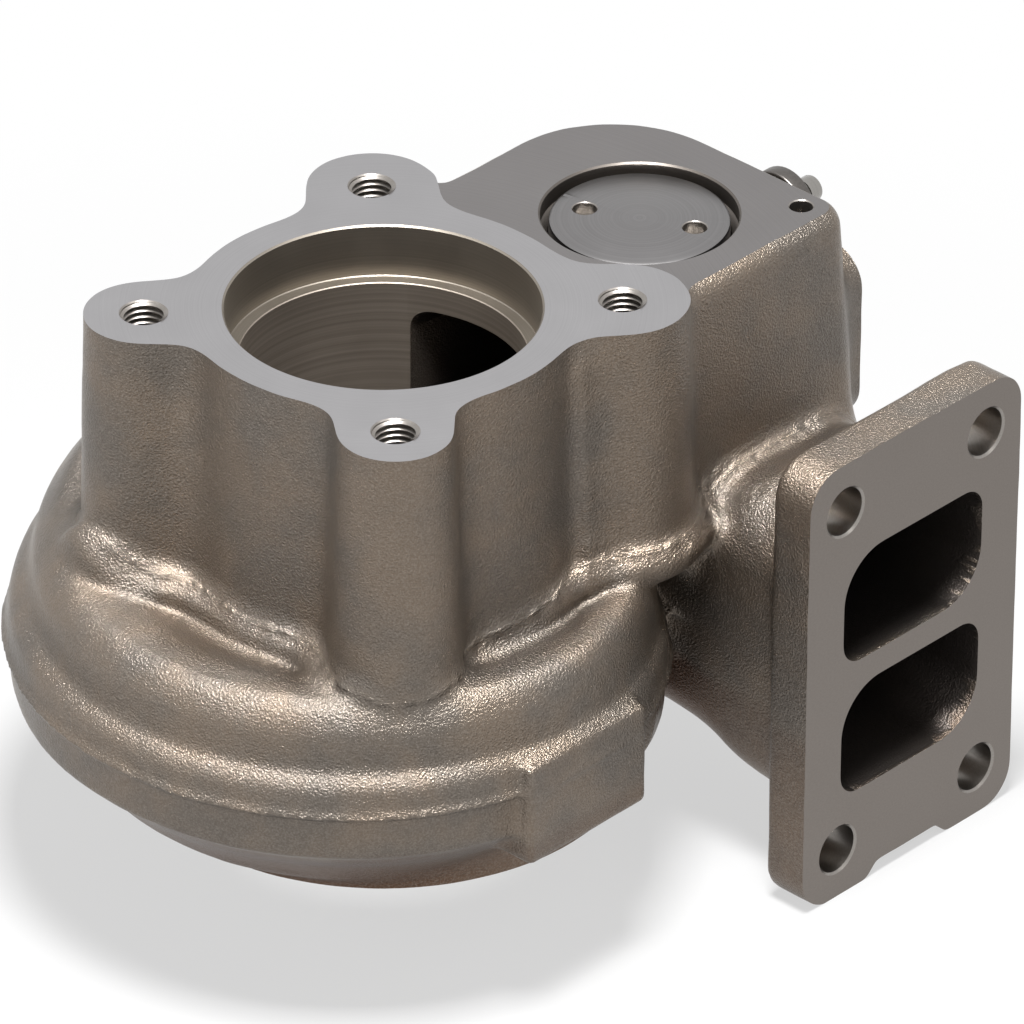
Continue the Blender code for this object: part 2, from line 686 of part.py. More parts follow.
def housing_holes(group, parent):
    holes = []
    for index, (x, y, radius) in enumerate(ear_places()):
        holes.append(drilled(f"tapped_hole_{index}", TAP_DRILL, TAP_DEPTH, group, parent,
                             (x, y, 0), rim=TAP_RIM))
    for side in (-1, 1):
        for level in (-1, 1):
            location = (FLANGE_FACE_X, FLANGE_Y + side * FLANGE_BOLT_ACROSS / 2,
                        FLANGE_Z + level * FLANGE_BOLT_UP / 2)
            holes.append(drilled(f"flange_hole_{side}_{level}", FLANGE_HOLE,
                                 FLANGE_THICKNESS + 2 * MM, group, parent, location,
                                 (0, pi / 2, 0), rim=FLANGE_HOLE + 1 * MM))
    holes.append(drilled("dowel_hole", DOWEL_HOLE, DOWEL_DEPTH, group, parent,
                         (DOWEL_X, DOWEL_Y, BLOCK_TOP_Z)))
    gate_depth = CHAMBER_FLOOR_Z - DIVIDER_Z + DIVIDER
    holes.append(drilled("gate_port", GATE_PORT, gate_depth, group, parent,
                         (VALVE_X, VALVE_Y, CHAMBER_FLOOR_Z)))
    bush_hole = BUSH_OUTER + 2 * SEAT_GAP
    holes.append(drilled("bush_hole", bush_hole, BOSS_FACE_Y - CHAMBER_Y, group, parent,
                         (SHAFT_X, BOSS_FACE_Y, SHAFT_Z), (-pi / 2, 0, 0)))
    return holes


def turbine_housing(parts, tools, parent, iron):
    """The casting: its outer forms joined, then its spaces and holes cut."""
    body = tower(parts, parent)
    for form in (block, duct, volute, core, boss, flange, pad):
        boolean(body, form(tools, parent), "UNION")
    for space in (turbine_bore, chamber, window):
        boolean(body, space(tools, parent), "DIFFERENCE")
    for upper in (True, False):
        boolean(body, scroll(upper, tools, parent), "DIFFERENCE")
    for hole in housing_holes(tools, parent):
        boolean(body, hole, "DIFFERENCE")
    return finish(body, iron)


def wastegate_plug(parts, tools, parent, steel):
    radius = PLUG_DIAMETER / 2
    edge = 0.5 * MM
    profile = [(0, 0), (radius - edge, 0), (radius, -edge), (radius, edge - PLUG_THICKNESS),
               (radius - edge, -PLUG_THICKNESS), (0, -PLUG_THICKNESS)]
    location = (CHAMBER_X, CHAMBER_Y, BLOCK_TOP_Z - PLUG_SINK)
    thing = place(turned("wastegate_plug", profile, ROUND_STEPS), parts, parent, location)
    turn = radians(SPANNER_ANGLE)
    for side in (-1, 1):
        reach = side * SPANNER_SPACING / 2
        spot = (CHAMBER_X + reach * cos(turn), CHAMBER_Y + reach * sin(turn), location[2])
        boolean(thing, drilled(f"spanner_hole_{side}", SPANNER_HOLE, SPANNER_DEPTH, tools,
                               parent, spot), "DIFFERENCE")
    return finish(thing, steel)


def tube(name, outer, inner, length, steps):
    """Sleeve about Z, from z = 0 down, with broken edges."""
    edge = 0.4 * MM
    profile = [(inner, 0), (outer - edge, 0), (outer, -edge), (outer, edge - length),
               (outer - edge, -length), (inner, -length), (inner, 0)]
    return turned(name, profile, steps)


def wastegate_bush(parts, parent, steel):
    bore = SHAFT_DIAMETER / 2 + SEAT_GAP
    outer_y = BOSS_FACE_Y + BUSH_PROUD
    thing = tube("wastegate_bush", BUSH_OUTER / 2, bore, outer_y - BUSH_INNER_Y, ROUND_STEPS)
    place(thing, parts, parent, (SHAFT_X, outer_y, SHAFT_Z))
    thing.rotation_euler = (-pi / 2, 0, 0)
    return finish(thing, steel)


def lever_outer_y():
    return BOSS_FACE_Y + BUSH_PROUD + SEAT_GAP + LEVER_THICKNESS


def arm_level():
    """Height of the inner arm's middle over the closed flap, in shaft coordinates."""
    return CHAMBER_FLOOR_Z + SEAT_GAP + VALVE_THICKNESS + SEAT_GAP + ARM_THICKNESS / 2 - SHAFT_Z


def wastegate_crank(parts, tools, shaft, steel):
    """Shaft with the inner arm, whose eye carries the flap."""
    radius = SHAFT_DIAMETER / 2
    edge = 0.5 * MM
    outer = lever_outer_y() + 0.8 * MM
    half = ARM_WIDTH / 2
    near, far = VALVE_Y - half - outer, VALVE_Y + half - outer
    end = SHAFT_INNER_Y - outer
    profile = [(0, 0), (radius - edge, 0), (radius, -edge), (radius, far),
               (COLLAR_RADIUS, far), (COLLAR_RADIUS, near), (radius, near),
               (radius, end + edge), (radius - edge, end), (0, end)]
    thing = place(turned("wastegate_crank", profile, HOLE_STEPS), parts, shaft,
                  (0, outer, 0))
    thing.rotation_euler = (-pi / 2, 0, 0)
    reach = VALVE_X - SHAFT_X
    eye = rounded([(reach - half, -half), (0, -half), (0, half), (reach - half, half)],
                  [half * 0.98, 1 * MM, 1 * MM, half * 0.98], 8)
    arm = place(plate("arm_form", eye, ARM_THICKNESS), tools, shaft, (0, VALVE_Y, arm_level()))
    boolean(thing, hide_tool(arm), "UNION")
    hole = drilled("arm_eye", STEM_DIAMETER + 2 * SEAT_GAP, ARM_THICKNESS + 2 * MM, tools, shaft,
                   (reach, VALVE_Y, arm_level() + ARM_THICKNESS / 2))
    boolean(thing, hole, "DIFFERENCE")
    return finish(thing, steel)


def wastegate_valve(parts, shaft, steel):
    """Flap with its stem, closed on the chamber's floor."""
    radius = VALVE_DIAMETER / 2
    stem = STEM_DIAMETER / 2
    top = VALVE_THICKNESS
    stem_top = top + ARM_THICKNESS + WASHER_THICKNESS + 3 * SEAT_GAP + 0.6 * MM
    profile = [(0, stem_top), (stem - 0.4 * MM, stem_top), (stem, stem_top - 0.4 * MM),
               (stem, top), (radius - 2 * MM, top), (radius, top - 1.5 * MM),
               (radius, 0.3 * MM), (radius - 0.3 * MM, 0), (0, 0)]
    thing = turned("wastegate_valve", profile, ROUND_STEPS)
    floor = CHAMBER_FLOOR_Z + SEAT_GAP - SHAFT_Z
    place(thing, parts, shaft, (VALVE_X - SHAFT_X, VALVE_Y, floor))
    return finish(thing, steel)


def valve_washer(parts, shaft, steel):
    bore = STEM_DIAMETER / 2 + SEAT_GAP
    thing = tube("valve_washer", WASHER_DIAMETER / 2, bore, WASHER_THICKNESS, HOLE_STEPS)
    seat = arm_level() + ARM_THICKNESS / 2 + SEAT_GAP + WASHER_THICKNESS
    place(thing, parts, shaft, (VALVE_X - SHAFT_X, VALVE_Y, seat))
    return finish(thing, steel)


def lever_outline():
    """Outline of the lever in its own plane: a hub, an eye and straight flanks between them."""
    along = hypot(LEVER_PIN_X - SHAFT_X, LEVER_PIN_Z - SHAFT_Z)
    lean = atan2(LEVER_HUB - LEVER_EYE, sqrt(along ** 2 - (LEVER_HUB - LEVER_EYE) ** 2))
    outline = []
    for step in range(13):
        angle = pi / 2 - lean + (pi + 2 * lean) * step / 12
        outline.append((LEVER_HUB * cos(angle), LEVER_HUB * sin(angle)))
    for step in range(11):
        angle = -pi / 2 + lean + (pi - 2 * lean) * step / 10
        outline.append((along + LEVER_EYE * cos(angle), LEVER_EYE * sin(angle)))
    return outline


def wastegate_lever(parts, tools, shaft, steel):
    thing = plate("wastegate_lever", lever_outline(), LEVER_THICKNESS)
    middle = lever_outer_y() - LEVER_THICKNESS / 2
    place(thing, parts, shaft, (0, middle, 0))
    swing = atan2(LEVER_PIN_Z - SHAFT_Z, LEVER_PIN_X - SHAFT_X)
    thing.rotation_euler = (pi / 2, -swing, 0)
    turn = (-pi / 2, 0, 0)
    for name, x, z, diameter in (("lever_bore", 0, 0, SHAFT_DIAMETER),
                                 ("pin_bore", LEVER_PIN_X - SHAFT_X, LEVER_PIN_Z - SHAFT_Z,
                                  LEVER_PIN_DIAMETER)):
        hole = drilled(name, diameter + 2 * SEAT_GAP, LEVER_THICKNESS + 2 * MM, tools, shaft,
                       (x, lever_outer_y(), z), turn)
        boolean(thing, hole, "DIFFERENCE")
    return finish(thing, steel)


def lever_pin(parts, shaft, steel):
    """Pin on the lever's eye, with a collar against the lever and a groove for a clip."""
    radius = LEVER_PIN_DIAMETER / 2
    length = LEVER_PIN_LENGTH
    groove = LEVER_PIN_GROOVE
    neck = radius - 0.7 * MM
    collar = radius + 1.4 * MM
    shank = LEVER_THICKNESS + SEAT_GAP
    profile = [(0, length), (radius - 0.5 * MM, length), (radius, length - 0.5 * MM),
               (radius, 0.62 * length + groove), (neck, 0.62 * length + groove),
               (neck, 0.62 * length), (radius, 0.62 * length),
               (radius, shank + 1.6 * MM), (collar, shank + 1.6 * MM), (collar, shank),
               (radius, shank), (radius, 0), (0, 0)]
    thing = turned("lever_pin", profile, HOLE_STEPS)
    inner_y = lever_outer_y() - LEVER_THICKNESS
    place(thing, parts, shaft, (LEVER_PIN_X - SHAFT_X, inner_y, LEVER_PIN_Z - SHAFT_Z))
    thing.rotation_euler = (-pi / 2, 0, 0)
    return finish(thing, steel)


def build():
    clear_scene()
    parts = new_collection("turbine_housing_assembly")
    tools = new_collection("cutters_and_forms")
    iron = principled("cast_iron", (0.20, 0.175, 0.15), 0.5, 0.75)
    machined = principled("machined_iron", (0.42, 0.40, 0.38), 0.35, 0.9)
    steel = principled("heat_steel", (0.30, 0.27, 0.23), 0.4, 0.9)

    axis = bpy.data.objects.new("turbine_axis", None)
    place(axis, parts, None, (-FLANGE_FACE_X, -FLANGE_Y, -FLANGE_Z))
    shaft = bpy.data.objects.new("wastegate_axis", None)
    place(shaft, parts, axis, (SHAFT_X, 0, SHAFT_Z))

    turbine_housing(parts, tools, axis, iron)
    wastegate_plug(parts, tools, axis, machined)
    wastegate_bush(parts, axis, steel)
    wastegate_crank(parts, tools, shaft, steel)
    wastegate_valve(parts, shaft, steel)
    valve_washer(parts, shaft, steel)
    wastegate_lever(parts, tools, shaft, steel)
    lever_pin(parts, shaft, machined)


build()
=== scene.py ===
# %% [markdown]
# A turbocharger's turbine housing, dressed for a studio picture.
#
# The engineering model gives the sizes, the places and what moves. This script makes the
# surfaces: an iron casting whose forms melt into each other, the crisp faces that a milling
# machine leaves on it, and the small turned parts of its wastegate.

# %% Load the frame
from math import atan2, cos, hypot, pi, radians, sin, sqrt, tan

import bmesh
import bpy
from mathutils import Matrix, Vector


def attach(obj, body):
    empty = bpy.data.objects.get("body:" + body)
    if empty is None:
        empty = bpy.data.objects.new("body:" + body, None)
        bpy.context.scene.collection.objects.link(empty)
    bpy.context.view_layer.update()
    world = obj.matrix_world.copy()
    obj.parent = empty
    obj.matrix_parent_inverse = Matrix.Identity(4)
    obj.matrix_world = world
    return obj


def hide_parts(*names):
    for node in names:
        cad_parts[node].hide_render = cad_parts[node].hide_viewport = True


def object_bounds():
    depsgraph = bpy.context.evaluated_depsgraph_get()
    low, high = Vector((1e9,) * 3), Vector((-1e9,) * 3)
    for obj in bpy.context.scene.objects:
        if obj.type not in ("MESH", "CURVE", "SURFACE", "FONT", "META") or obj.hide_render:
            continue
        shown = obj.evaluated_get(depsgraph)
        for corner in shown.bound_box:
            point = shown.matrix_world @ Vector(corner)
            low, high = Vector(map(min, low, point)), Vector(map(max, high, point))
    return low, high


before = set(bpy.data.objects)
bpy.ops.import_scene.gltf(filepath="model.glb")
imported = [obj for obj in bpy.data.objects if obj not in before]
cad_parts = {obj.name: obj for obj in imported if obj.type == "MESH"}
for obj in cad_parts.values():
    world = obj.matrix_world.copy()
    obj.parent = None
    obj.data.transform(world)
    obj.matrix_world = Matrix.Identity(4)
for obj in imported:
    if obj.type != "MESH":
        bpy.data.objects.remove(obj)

cad_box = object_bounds()

# %% [markdown]
# Every size below is in millimetres and in turbine coordinates, as on a foundry drawing: Z is
# the turbine wheel's axis, and z = 0 is the machined face where the exhaust elbow sits. One
# matrix brings a finished piece into the frame, whose origin is on the inlet flange.

# %% Coordinates
MM = 0.001
FLANGE_FACE_X = 85.5
FLANGE_Y = 81.0
FLANGE_Z = -86.7
TO_FRAME = Matrix.Scale(MM, 4) @ Matrix.Translation((-FLANGE_FACE_X, -FLANGE_Y, -FLANGE_Z))
print("turbine axis in the frame:", tuple(round(v, 4) for v in TO_FRAME.translation))

# %% [markdown]
# The as-cast body could be modelled with subdivision surfaces, but then each place where two
# forms meet needs its own patch of faces. Here the body is a rule instead: a field that says
# for any point how far it lies outside the iron. Geometry Nodes evaluates the rule on a fine
# grid of voxels and skins it. Unions blend softly, as a foundry's fillets do.
#
# Writing such a rule by hand in the node editor is slow, so a small class lets Python's own
# arithmetic place the Math nodes.

# %% A number that varies over space
def sign_for(operation):
    """What an arithmetic sign does, with the field on its left and on its right."""
    return (lambda field, other: calc(operation, field, other),
            lambda field, other: calc(operation, other, field))


class Field:
    """One socket of the node tree. Arithmetic on it adds Math nodes."""

    tree = None
    __add__, __radd__ = sign_for("ADD")
    __sub__, __rsub__ = sign_for("SUBTRACT")
    __mul__, __rmul__ = sign_for("MULTIPLY")
    __truediv__, __rtruediv__ = sign_for("DIVIDE")

    def __init__(self, socket):
        self.socket = socket

    def __neg__(self):
        return calc("MULTIPLY", self, -1.0)

    def __abs__(self):
        return calc("ABSOLUTE", self)


def plug_in(tree, slot, value):
    if isinstance(value, Field):
        tree.links.new(value.socket, slot)
    else:
        slot.default_value = value


def calc(operation, *values):
    node = Field.tree.nodes.new("ShaderNodeMath")
    node.operation = operation
    for slot, value in zip(node.inputs, values):
        plug_in(Field.tree, slot, value)
    return Field(node.outputs[0])


def split_up(vector):
    """The three numbers of a vector socket."""
    node = Field.tree.nodes.new("ShaderNodeSeparateXYZ")
    Field.tree.links.new(vector, node.inputs[0])
    return [Field(socket) for socket in node.outputs]


def lower(a, b):
    return calc("MINIMUM", a, b)


def higher(a, b):
    return calc("MAXIMUM", a, b)


def away_from(a, b):
    """Length of the plane vector (a, b)."""
    pair = Field.tree.nodes.new("ShaderNodeCombineXYZ")
    plug_in(Field.tree, pair.inputs[0], a)
    plug_in(Field.tree, pair.inputs[1], b)
    node = Field.tree.nodes.new("ShaderNodeVectorMath")
    node.operation = "LENGTH"
    Field.tree.links.new(pair.outputs[0], node.inputs[0])
    return Field(node.outputs["Value"])


# %% [markdown]
# Solids are put together with four verbs. "both" keeps what is inside two forms and rounds
# the edge between them, "joined" is a union with a fillet, "cut" takes a form away, and
# "line" draws a smooth curve through a few points, for walls that swell and narrow.

# %% Verbs for fields
def both(a, b, round_off=0.0):
    if not round_off:
        return higher(a, b)
    a, b = a + round_off, b + round_off
    corner = away_from(higher(a, 0.0), higher(b, 0.0))
    return corner + lower(higher(a, b), 0.0) - round_off


def joined(a, b, blend):
    overlap = higher(blend - abs(a - b), 0.0)
    return lower(a, b) - overlap * overlap * (0.25 / blend)


def fillet(a, b, blend):
    """One in the middle of the fillet between two forms, and zero outside it."""
    return higher(1.0 - abs(a - b) / blend, 0.0)


def cut(body, space, round_off):
    return both(body, -space, round_off)


def mixed(a, b, share):
    return a + (b - a) * share


def line(value, points):
    """Smooth line through (value, result) points, level past its ends."""
    start, end = points[0][0], points[-1][0]
    low = min(result for _, result in points)
    span = max(result for _, result in points) - low
    node = Field.tree.nodes.new("ShaderNodeFloatCurve")
    node.mapping.extend = "HORIZONTAL"
    curve = node.mapping.curves[0]
    for _ in points[2:]:
        curve.points.new(0.5, 0.5)
    for knot, (place, result) in zip(curve.points, points):
        knot.location = ((place - start) / (end - start), (result - low) / span)
        knot.handle_type = "AUTO_CLAMPED"
    node.mapping.update()
    plug_in(Field.tree, node.inputs["Value"], (value - start) / (end - start))
    return Field(node.outputs[0]) * span + low


def eased(value, start, end):
    share = calc("MULTIPLY_ADD", value, 1 / (end - start), -start / (end - start))
    share = lower(higher(share, 0.0), 1.0)
    return share * share * (3.0 - 2.0 * share)


def oblong(across, up, half_across, half_up, corner):
    """Rectangle with round corners, about (0, 0)."""
    return both(abs(across) - half_across, abs(up) - half_up, corner)


# %% [markdown]
# The outlet tower: a round barrel with four ears for the studs. A designer draws five circles
# and fillets them together, and the union with a wide blend does the same. The sides lean out
# by a degree and a half, so that the pattern could be drawn from the sand.

# %% Outlet tower
TOWER_RADIUS = 43.6
TOWER_DEPTH = 62.0
DRAFT = tan(radians(1.5))
BOLT_CIRCLE = 105.0
EAR_TWIST = 1.9
EAR_RADII = {45: 15.0, 135: 14.5, 225: 13.2, 315: 12.6}
EAR_BLEND = 13.0
STOCK = 2.5        # iron that the mill takes off a face
BLOCK_STOCK = 0.8


def ears():
    for angle, radius in EAR_RADII.items():
        turn = radians(angle + EAR_TWIST)
        yield BOLT_CIRCLE / 2 * cos(turn), BOLT_CIRCLE / 2 * sin(turn), radius


def tower_form(x, y, z, r):
    plan = r - TOWER_RADIUS
    for ear_x, ear_y, radius in ears():
        plan = joined(plan, away_from(x - ear_x, y - ear_y) - radius, EAR_BLEND)
    plan = plan + z * DRAFT
    return both(both(plan, z - STOCK), -TOWER_DEPTH - z, 5.0)


# %% [markdown]
# The volute winds round the axis like a snail's shell, and it is the piece that follows a
# rule: its radius falls steadily with the angle. Its roof is drawn twice, for the wide start
# and for the slim end, as a height over the share of the way out, and one melts into the
# other. Below the parting plane come a straight band and a rounded belly. A bead of iron runs
# round the tower's foot, as high as the angle round the axis says.

# %% Volute
VOLUTE_START = 84.0
VOLUTE_TURN = 346.0
VOLUTE_START_RADIUS = 96.5
VOLUTE_FALL = 25.0
VOLUTE_CURL = 12.0
PARTING_Z = -85.5
SHOULDER_Z = -61.0
SHOULDER_RISE = 12.0
SLIM_FROM, SLIM_TO = 180.0 - VOLUTE_START, 255.0 - VOLUTE_START
BASE_Z = -115.6
BASE_RADIUS = 56.5
BASE_HEIGHT = 12.0
FULL_ROOF = ((0.0, 0.66), (0.20, 0.64), (0.44, 0.88), (0.62, 0.96), (0.78, 0.80), (0.86, 0.60),
             (0.90, 0.45), (0.93, 0.40), (0.96, 0.34), (0.98, 0.25), (1.0, 0.10), (1.015, 0.04),
             (1.05, 0.0))
SLIM_ROOF = ((0.0, 1.0), (0.18, 0.88), (0.44, 0.98), (0.64, 1.0), (0.725, 0.95), (0.80, 0.83),
             (0.84, 0.70), (0.865, 0.44), (0.885, 0.385), (0.92, 0.35), (0.965, 0.275),
             (0.99, 0.17), (1.0, 0.06), (1.03, 0.04), (1.05, 0.0))
BAND_AND_BELLY = ((-2.0, -0.2), (-0.9, -1.0), (-0.1, -1.0), (0.6, 0.8), (10.6, 1.1),
                  (11.6, 2.2), (13.0, 4.0), (16.0, 7.0), (20.0, 11.0), (25.0, 15.5),
                  (30.0, 19.0))
BEAD_TOP = ((60.0, -56.0), (142.0, -56.0), (150.0, -50.6), (155.0, -52.4), (160.0, -57.0),
            (165.0, -58.6), (187.0, -59.8), (204.0, -60.0), (212.0, -59.6), (222.0, -64.0),
            (239.0, -66.0), (251.0, -62.5), (266.0, -62.0), (290.0, -58.5), (315.0, -56.0),
            (345.0, -56.0))
BEAD_WIDTH = ((213.0, 5.0), (235.0, 3.8))


def volute_turn(x, y):
    angle = calc("ARCTAN2", y, x) * (180 / pi) - VOLUTE_START
    return calc("FLOORED_MODULO", angle, 360.0)


def volute_form(r, z, turned):
    share = turned / VOLUTE_TURN
    reach = VOLUTE_START_RADIUS - share * VOLUTE_FALL - share * share * VOLUTE_CURL
    slim = eased(turned, SLIM_FROM, SLIM_TO)
    crown = SHOULDER_Z + (1.0 - slim) * SHOULDER_RISE
    foot = TOWER_RADIUS + 1.0
    out = (r - foot) / (reach - foot)
    rise = mixed(line(out, FULL_ROOF), line(out, SLIM_ROOF), slim)
    roof = PARTING_Z + rise * (crown - PARTING_Z)
    side = (r - reach + line(PARTING_Z - z, BAND_AND_BELLY)) * 0.8
    shell = both(both((z - roof) * 0.75, side, 0.4), BASE_Z + 2.0 - z, 2.0)
    return shell, roof, reach


def bead_form(stem, z, turned):
    """The raised bead round the tower's foot. It climbs at the ears on both sides."""
    return both(stem - line(turned, BEAD_WIDTH), z - line(turned, BEAD_TOP), 3.2)


def base_form(r, z):
    return both(both(r - BASE_RADIUS, BASE_Z - STOCK - z), z - BASE_Z - BASE_HEIGHT)


# %% [markdown]
# The wastegate block stands beside the tower, with one big round corner and one small one.
# Its boss carries the shaft's bush. Behind it the inlet duct leaves for the flange. The duct
# is a rounded box whose walls move along X: each wall is one line through a few stations.

# %% Block, boss, duct, flange and pad
BLOCK_TOP_Z = -4.0
BLOCK_FRONT_X = 40.7
BLOCK_BACK_X = -34.0
BLOCK_SIDE_Y = 108.5
BLOCK_DRAFT = tan(radians(3.0))
BLOCK_BOTTOM_Z = -72.0
SHAFT_X = 22.0
SHAFT_Z = -34.5
BOSS_FACE_Y = 116.0
BOSS_Z = -43.0
FLANGE_THICKNESS = 11.4
FLANGE_HALF = (35.0, 57.0)
NOTCH_HALF, NOTCH_Z = 10.0, -53.6
DUCT_END_X = 80.0
PAD_FACE_X = 69.4
PAD_Y, PAD_Z = -7.0, -90.75


def block_form(x, y, z):
    lean = (BLOCK_TOP_Z - z) * BLOCK_DRAFT
    side = y - BLOCK_SIDE_Y - lean
    small_corner = both(x - BLOCK_FRONT_X - lean, side, 7.0)
    plan = both(small_corner, both(BLOCK_BACK_X - x - lean, side, 30.0))
    body = both(higher(plan, 20.0 - y), z - BLOCK_TOP_Z - BLOCK_STOCK, 5.0)
    return both(body, BLOCK_BOTTOM_Z - z, 6.0)


def boss_form(x, y, z):
    plan = oblong(x - SHAFT_X, z - BOSS_Z, 15.5, 22.0, 9.0)
    return both(both(plan, y - BOSS_FACE_Y - STOCK), 95.0 - y)


def duct_form(x, y, z):
    near = line(x, ((-8, 40.0), (18, 48.0), (44, 52.0), (62, 51.5), (80, 51.5)))
    far = line(x, ((-8, 96.5), (18, 101.5), (44, 109.5), (62, 110.5), (80, 110.5)))
    top = line(x, ((-8, -59.0), (18, -55.0), (44, -53.0), (62, -48.65), (80, -48.65)))
    bottom = line(x, ((-8, -113.0), (18, -114.0), (44, -117.0), (62, -122.75), (80, -124.75)))
    middle_y, half_y = (near + far) * 0.5, (far - near) * 0.5
    middle_z, half_z = (top + bottom) * 0.5, (top - bottom) * 0.5
    low_near = calc("LESS_THAN", lower(middle_y - y, middle_z - z) * -1.0, 0.0)
    tube = oblong(y - middle_y, z - middle_z, half_y, half_z, 18.0 - low_near * 5.5)
    return both(both(tube, -10.0 - x, 6.0), x - DUCT_END_X)


def flange_form(x, y, z):
    across, up = y - FLANGE_Y, z - FLANGE_Z
    plate = oblong(across, up, *FLANGE_HALF, 9.0)
    notch = both(abs(across) - NOTCH_HALF - (NOTCH_Z - up), up - NOTCH_Z)
    plate = cut(plate, notch, 0.8)
    plate = both(plate, x - FLANGE_FACE_X - STOCK)
    return both(plate, FLANGE_FACE_X - FLANGE_THICKNESS - x, 1.2)


def pad_form(x, y, z):
    face = oblong(y - PAD_Y, z - PAD_Z, 18.75, 12.75, 1.2)
    return both(both(face, x - PAD_FACE_X, 1.2), 43.0 - x)


# %% [markdown]
# Sand cores leave the hollows: two gas passages that start as ports in the flange and wind
# inwards round the wheel, the wastegate's chamber, and its window into the outlet bore. They
# are fields of the same kind, and the body is cut with them.

# %% Cores
WHEEL_RADIUS = 36.0
SLOT_TOP_Z = -79.0
DIVIDER_Z = -87.5
CHAMBER_X = 8.3
CHAMBER_Y = 73.6
CHAMBER_RADIUS = 22.0
CHAMBER_TOP_Z = -18.0
CHAMBER_FLOOR_Z = -48.0
WALL = 6.0
HALF_DIVIDER = 2.5
UPPER_PORT = ((-72.5, -71.5, -69.25), (12.5, 12.3, 14.1))
LOWER_PORT = ((-99.0, -100.5, -104.15), (9.0, 10.5, 14.1))


def port_core(x, y, z, middles, halves):
    """One port: it has two round corners and two tight ones, and meets the scroll at x = 0."""
    stations = (0, 45, 87)
    across = y - line(x, tuple(zip(stations, (73.0, 77.5, 81.0))))
    up = z - line(x, tuple(zip(stations, middles)))
    half_up = line(x, tuple(zip(stations, halves)))
    half_across = line(x, tuple(zip(stations, (17.5, 20.5, 23.0))))
    tight = calc("LESS_THAN", across * up, 0.0)
    corner = 6.0 + tight * 6.5
    a, b = abs(across) - half_across + corner, abs(up) - half_up + corner
    tube = away_from(higher(a, 0.0), higher(b, 0.0)) + lower(higher(a, b), 0.0) - corner
    return both(tube, -2.0 - x)


def scroll_cores(r, z, roof, reach):
    outer = r - reach + WALL
    belly = -116.0 + higher(r - reach + 26.0, 0.0) * 0.55
    ceiling = lower(roof - WALL, SLOT_TOP_Z + (r - WHEEL_RADIUS) * 1.3)
    floor = higher(belly + WALL, -96.0 - (r - WHEEL_RADIUS) * 0.8)
    upper = both(both(z - ceiling, DIVIDER_Z + HALF_DIVIDER - z, 1.2), outer, 4.0)
    under = both(both(z - DIVIDER_Z + HALF_DIVIDER, floor - z, 1.2), outer + 1.0, 4.0)
    hub = WHEEL_RADIUS - 4.0 - r
    return both(upper, hub), both(under, hub)


def chamber_core(x, y, z):
    pot = away_from(x - CHAMBER_X, y - CHAMBER_Y) - CHAMBER_RADIUS
    pot = both(both(pot, z - CHAMBER_TOP_Z, 3.0), CHAMBER_FLOOR_Z - z, 3.0)
    slot = both(oblong(x - y * 0.11, z + 33.0, 20.5, 13.5, 4.0), both(y - CHAMBER_Y, 15.0 - y))
    return lower(pot, slot)


# %% [markdown]
# All of it comes together in one tree. A little noise is added to the field before the skin is
# taken, because sand castings are never quite even.

# %% The casting's node tree
VOXEL = 0.8
RELAX = 2
FACES_KEPT = 0.23
LOW_CORNER = (-90.0, -82.0, -148.0)
HIGH_CORNER = (90.0, 122.0, 4.0)


def start_tree(name, inputs):
    """A Geometry Nodes tree with named numbers as inputs: tree, their fields, their ids."""
    tree = bpy.data.node_groups.new(name, "GeometryNodeTree")
    tree.interface.new_socket("Geometry", in_out="OUTPUT", socket_type="NodeSocketGeometry")
    ids = [tree.interface.new_socket(title, in_out="INPUT",
                                     socket_type="NodeSocketFloat").identifier
           for title in inputs]
    Field.tree = tree
    group = tree.nodes.new("NodeGroupInput")
    return tree, [Field(group.outputs[title]) for title in inputs], ids


def unevenness(tree, position, period, height):
    noise = tree.nodes.new("ShaderNodeTexNoise")
    noise.inputs["Scale"].default_value = 1 / period
    noise.inputs["Detail"].default_value = 1.0
    tree.links.new(position, noise.inputs["Vector"])
    return (Field(noise.outputs[0]) - 0.5) * height


def casting_field(tree):
    """How far a point lies outside the iron, in millimetres, and two notes for the finish:
    where forms meet in a seam, and where a sand core shaped the wall."""
    position = tree.nodes.new("GeometryNodeInputPosition").outputs[0]
    x, y, z = split_up(position)
    r = away_from(x, y)
    turned = volute_turn(x, y)
    volute, roof, reach = volute_form(r, z, turned)
    volute = joined(volute, base_form(r, z), 3.0)
    volute = joined(volute, pad_form(x, y, z), 2.0)
    stem = tower_form(x, y, z, r)
    volute = joined(volute, bead_form(stem, z, turned), 2.4)
    body = joined(volute, stem, 5.0)
    block, duct = block_form(x, y, z), duct_form(x, y, z)
    side = joined(block, duct, 7.0)
    side = joined(side, boss_form(x, y, z), 4.0)
    side = joined(side, flange_form(x, y, z), 6.0)
    seams = higher(fillet(volute, stem, 6.0), fillet(block, duct, 7.0))
    seams = higher(seams, fillet(body, side, 6.0)) * eased(z, -46.0, -52.0)
    body = joined(body, side, 6.0)
    body = body + unevenness(tree, position, 26.0, 0.6) + unevenness(tree, position, 7.0, 0.3)
    upper, under = scroll_cores(r, z, roof, reach)
    upper = joined(upper, port_core(x, y, z, *UPPER_PORT), 4.0)
    under = joined(under, port_core(x, y, z, *LOWER_PORT), 4.0)
    chamber = chamber_core(x, y, z)
    cored = 1.0 - eased(lower(lower(upper, under), chamber), 2.0, 4.0)
    body = cut(cut(cut(body, upper, 1.0), under, 1.0), chamber, 1.2)
    return body, {"seam": seams, "cored": cored}


